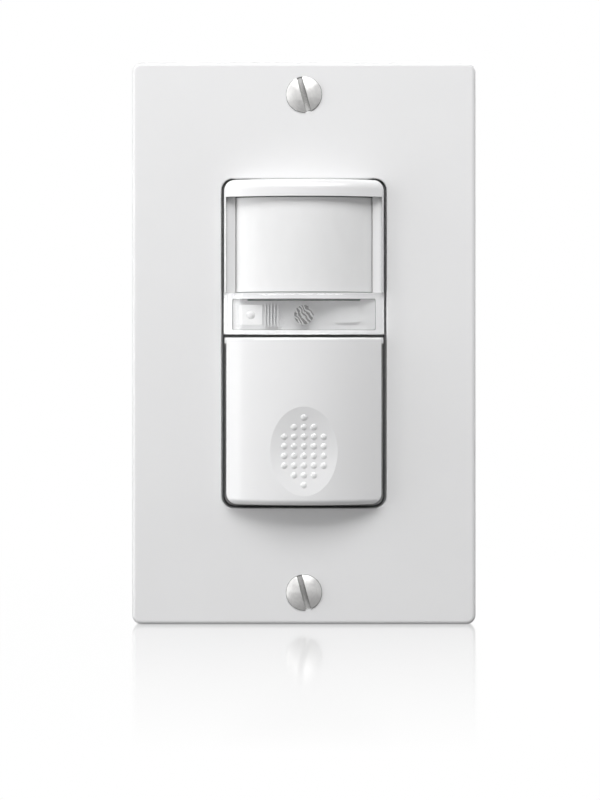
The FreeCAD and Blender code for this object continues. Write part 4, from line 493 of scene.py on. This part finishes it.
def make_winding():
    """The choke's wire as close turns, in place of its plain sleeve."""
    low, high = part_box("choke_winding")
    centre = (low + high) / 2
    radius = (high.x - low.x) / 2 - WIRE_RADIUS
    length = high.y - low.y - 2 * WIRE_RADIUS
    steps = int(length / (2 * WIRE_RADIUS)) * STEPS_A_TURN
    points = []
    for index in range(steps + 1):
        angle = 2 * math.pi * index / STEPS_A_TURN
        advance = low.y + WIRE_RADIUS + length * index / steps
        points.append(Vector((centre.x + radius * math.cos(angle), advance,
                              centre.z + radius * math.sin(angle))))
    mesh = wire_along("choke_coil", points, Vector((0, 1, 0)))
    mesh.materials.append(bpy.data.materials["copper_wire"])
    coil = add_object("choke_coil", mesh)
    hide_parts("choke_winding")
    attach(coil, "device")


def add_box(vertices, faces, low, high):
    """The corners and faces of an upright box, added to the lists."""
    first = len(vertices)
    vertices += [(x, y, z) for x in (low[0], high[0]) for y in (low[1], high[1]) for z in (low[2], high[2])]
    for face in BOX_FACES:
        faces.append(tuple(first + corner for corner in face))


def make_back_cutter(back):
    """The room of the panel and the grooves, as boxes that reach through the housing's back."""
    vertices = []
    faces = []
    add_box(vertices, faces, (-PANEL_HALF.x, back - PANEL_DEPTH, PANEL_MIDDLE - PANEL_HALF.y),
            (PANEL_HALF.x, back + PANEL_DEPTH, PANEL_MIDDLE + PANEL_HALF.y))
    for row in range(GROOVES):
        level = GROOVE_FIRST + GROOVE_PITCH * row
        for side in (-1, 1):
            middle = side * GROOVE_ASIDE
            add_box(vertices, faces, (middle - GROOVE_HALF.x, back - GROOVE_DEPTH, level - GROOVE_HALF.y),
                    (middle + GROOVE_HALF.x, back + GROOVE_DEPTH, level + GROOVE_HALF.y))
    return add_object("housing_cut", mesh_of("housing_cut", vertices, faces))


def make_housing():
    """The rear housing with a sunk panel and two columns of grooves moulded in its back."""
    shell = copy_of("rear_housing", "housing_shell")
    change_mesh(shell.data, weld)
    cutter = make_back_cutter(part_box("rear_housing")[1].y)
    cut = shell.modifiers.new("cut", "BOOLEAN")
    cut.operation = "DIFFERENCE"
    cut.solver = "EXACT"
    cut.object = cutter
    settle(shell)
    bpy.data.objects.remove(cutter)
    change_mesh(shell.data, merge_flats)
    smooth(shell.data)
    shell.data.set_sharp_from_angle(angle=SHARP_ANGLE)
    even = shell.modifiers.new("even", "WEIGHTED_NORMAL")
    even.keep_sharp = True
    settle(shell)
    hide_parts("rear_housing")
    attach(shell, "device")


# Camera, light and floor

def make_camera():
    """A level camera straight ahead, with its frame shifted to the view's centre."""
    data = bpy.data.cameras.new("camera")
    data.sensor_width = SENSOR
    data.lens = SENSOR * (CAMERA_DISTANCE + PLATE_FRONT) / VIEW_HEIGHT
    data.shift_x = VIEW_CENTRE[0] / VIEW_HEIGHT
    data.shift_y = (VIEW_CENTRE[1] - CAMERA_LEVEL) / VIEW_HEIGHT
    data.clip_start = CLIP_START
    data.clip_end = CLIP_END
    camera = add_object("camera", data)
    camera.location = (0, -CAMERA_DISTANCE, CAMERA_LEVEL)
    camera.rotation_euler = (math.pi / 2, 0, 0)
    bpy.context.scene.camera = camera


def make_lamp(name, place, size, power):
    """A soft rectangular lamp that faces the origin."""
    data = bpy.data.lights.new(name, "AREA")
    data.shape = "RECTANGLE"
    data.size, data.size_y = size
    data.energy = power
    lamp = add_object(name, data)
    lamp.location = place
    lamp.rotation_euler = (-Vector(place)).to_track_quat("-Z", "Y").to_euler()


def make_world():
    """A white surround for the camera; what lights the object is paler above and darker below."""
    world = bpy.data.worlds.new("studio")
    world.use_nodes = True
    tree = world.node_tree
    tree.nodes.clear()
    output = tree.nodes.new("ShaderNodeOutputWorld")
    seen = tree.nodes.new("ShaderNodeBackground")
    set_inputs(seen, {"Color": (1, 1, 1, 1), "Strength": 1.0})
    soft = tree.nodes.new("ShaderNodeBackground")
    set_inputs(soft, {"Strength": 1.0})
    mix = tree.nodes.new("ShaderNodeMixShader")
    path = tree.nodes.new("ShaderNodeLightPath")
    spot = tree.nodes.new("ShaderNodeTexCoord")
    parts = tree.nodes.new("ShaderNodeSeparateXYZ")
    tree.links.new(spot.outputs["Generated"], parts.inputs["Vector"])
    height = remap(tree, parts.outputs["Z"], -1.0, 1.0)
    tone = ramp(tree, height, [(place, grey(level)) for place, level in SKY])
    tree.links.new(tone, soft.inputs["Color"])
    tree.links.new(path.outputs["Is Camera Ray"], mix.inputs["Fac"])
    tree.links.new(soft.outputs["Background"], mix.inputs[1])
    tree.links.new(seen.outputs["Background"], mix.inputs[2])
    tree.links.new(mix.outputs["Shader"], output.inputs["Surface"])
    bpy.context.scene.world = world


def flat_sheet(name, corners, material):
    """One flat face of the stage."""
    mesh = mesh_of(name, corners, [tuple(range(len(corners)))])
    mesh.materials.append(material)
    sheet = add_object(name, mesh)
    return sheet


def square(reach):
    """The four corners of a square round the origin."""
    return [(-reach, -reach), (reach, -reach), (reach, reach), (-reach, reach)]


def glow(name):
    """A material with an even white glow, its tree, its white node and its output."""
    material = bpy.data.materials.new(name)
    material.use_nodes = True
    tree = material.node_tree
    tree.nodes.clear()
    output = tree.nodes.new("ShaderNodeOutputMaterial")
    white = tree.nodes.new("ShaderNodeEmission")
    set_inputs(white, {"Color": (1, 1, 1, 1), "Strength": 1.0})
    tree.links.new(white.outputs["Emission"], output.inputs["Surface"])
    return material, tree, white, output


def make_floor():
    """A white floor that mirrors the foot of the plate and fades away from it."""
    material, tree, white, output = glow("floor_white")
    mirror = tree.nodes.new("ShaderNodeBsdfGlossy")
    set_inputs(mirror, {"Roughness": 0.11, "Color": (1, 1, 1, 1)})
    spot = tree.nodes.new("ShaderNodeTexCoord")
    flat = tree.nodes.new("ShaderNodeMapping")
    set_inputs(flat, {"Scale": MIRROR_STRETCH})
    away = tree.nodes.new("ShaderNodeVectorMath")
    away.operation = "LENGTH"
    tree.links.new(spot.outputs["Object"], flat.inputs["Vector"])
    tree.links.new(flat.outputs["Vector"], away.inputs[0])
    fade = remap(tree, away.outputs["Value"], MIRROR_REACH, 0.0, 0.0, MIRROR_SHARE)
    gloss = tree.nodes.new("ShaderNodeFresnel")
    set_inputs(gloss, {"IOR": 1.45})
    mix = tree.nodes.new("ShaderNodeMixShader")
    tree.links.new(number(tree, "MULTIPLY", fade, gloss.outputs["Fac"]), mix.inputs["Fac"])
    tree.links.new(white.outputs["Emission"], mix.inputs[1])
    tree.links.new(mirror.outputs["BSDF"], mix.inputs[2])
    tree.links.new(mix.outputs["Shader"], output.inputs["Surface"])
    floor = flat_sheet("floor", [(x, y, FLOOR_LEVEL) for x, y in square(FLOOR_REACH)], material)
    hide_from(floor, "diffuse", "glossy", "transmission", "shadow")


def make_backdrop():
    """A low white band round the stage, seen in reflections only."""
    material = glow("wall_white")[0]
    top = FLOOR_LEVEL + WALL_HEIGHT
    corners = square(WALL_REACH)
    for index, (x, y) in enumerate(corners):
        far_x, far_y = corners[(index + 1) % len(corners)]
        wall = flat_sheet(f"wall_{index}", [(x, y, FLOOR_LEVEL), (far_x, far_y, FLOOR_LEVEL),
                                            (far_x, far_y, top), (x, y, top)], material)
        hide_from(wall, "camera", "diffuse", "transmission", "shadow")


def make_studio():
    make_camera()
    make_world()
    for lamp in LAMPS:
        make_lamp(*lamp)
    make_floor()
    make_backdrop()
    settings = bpy.context.scene.view_settings
    settings.view_transform = "Standard"
    settings.look = "None"
    settings.exposure = 0.0
    settings.gamma = 1.0


dress_whites()
dress_clear()
dress_metals()
dress_inner()
make_spring()
make_winding()
make_housing()
make_studio()
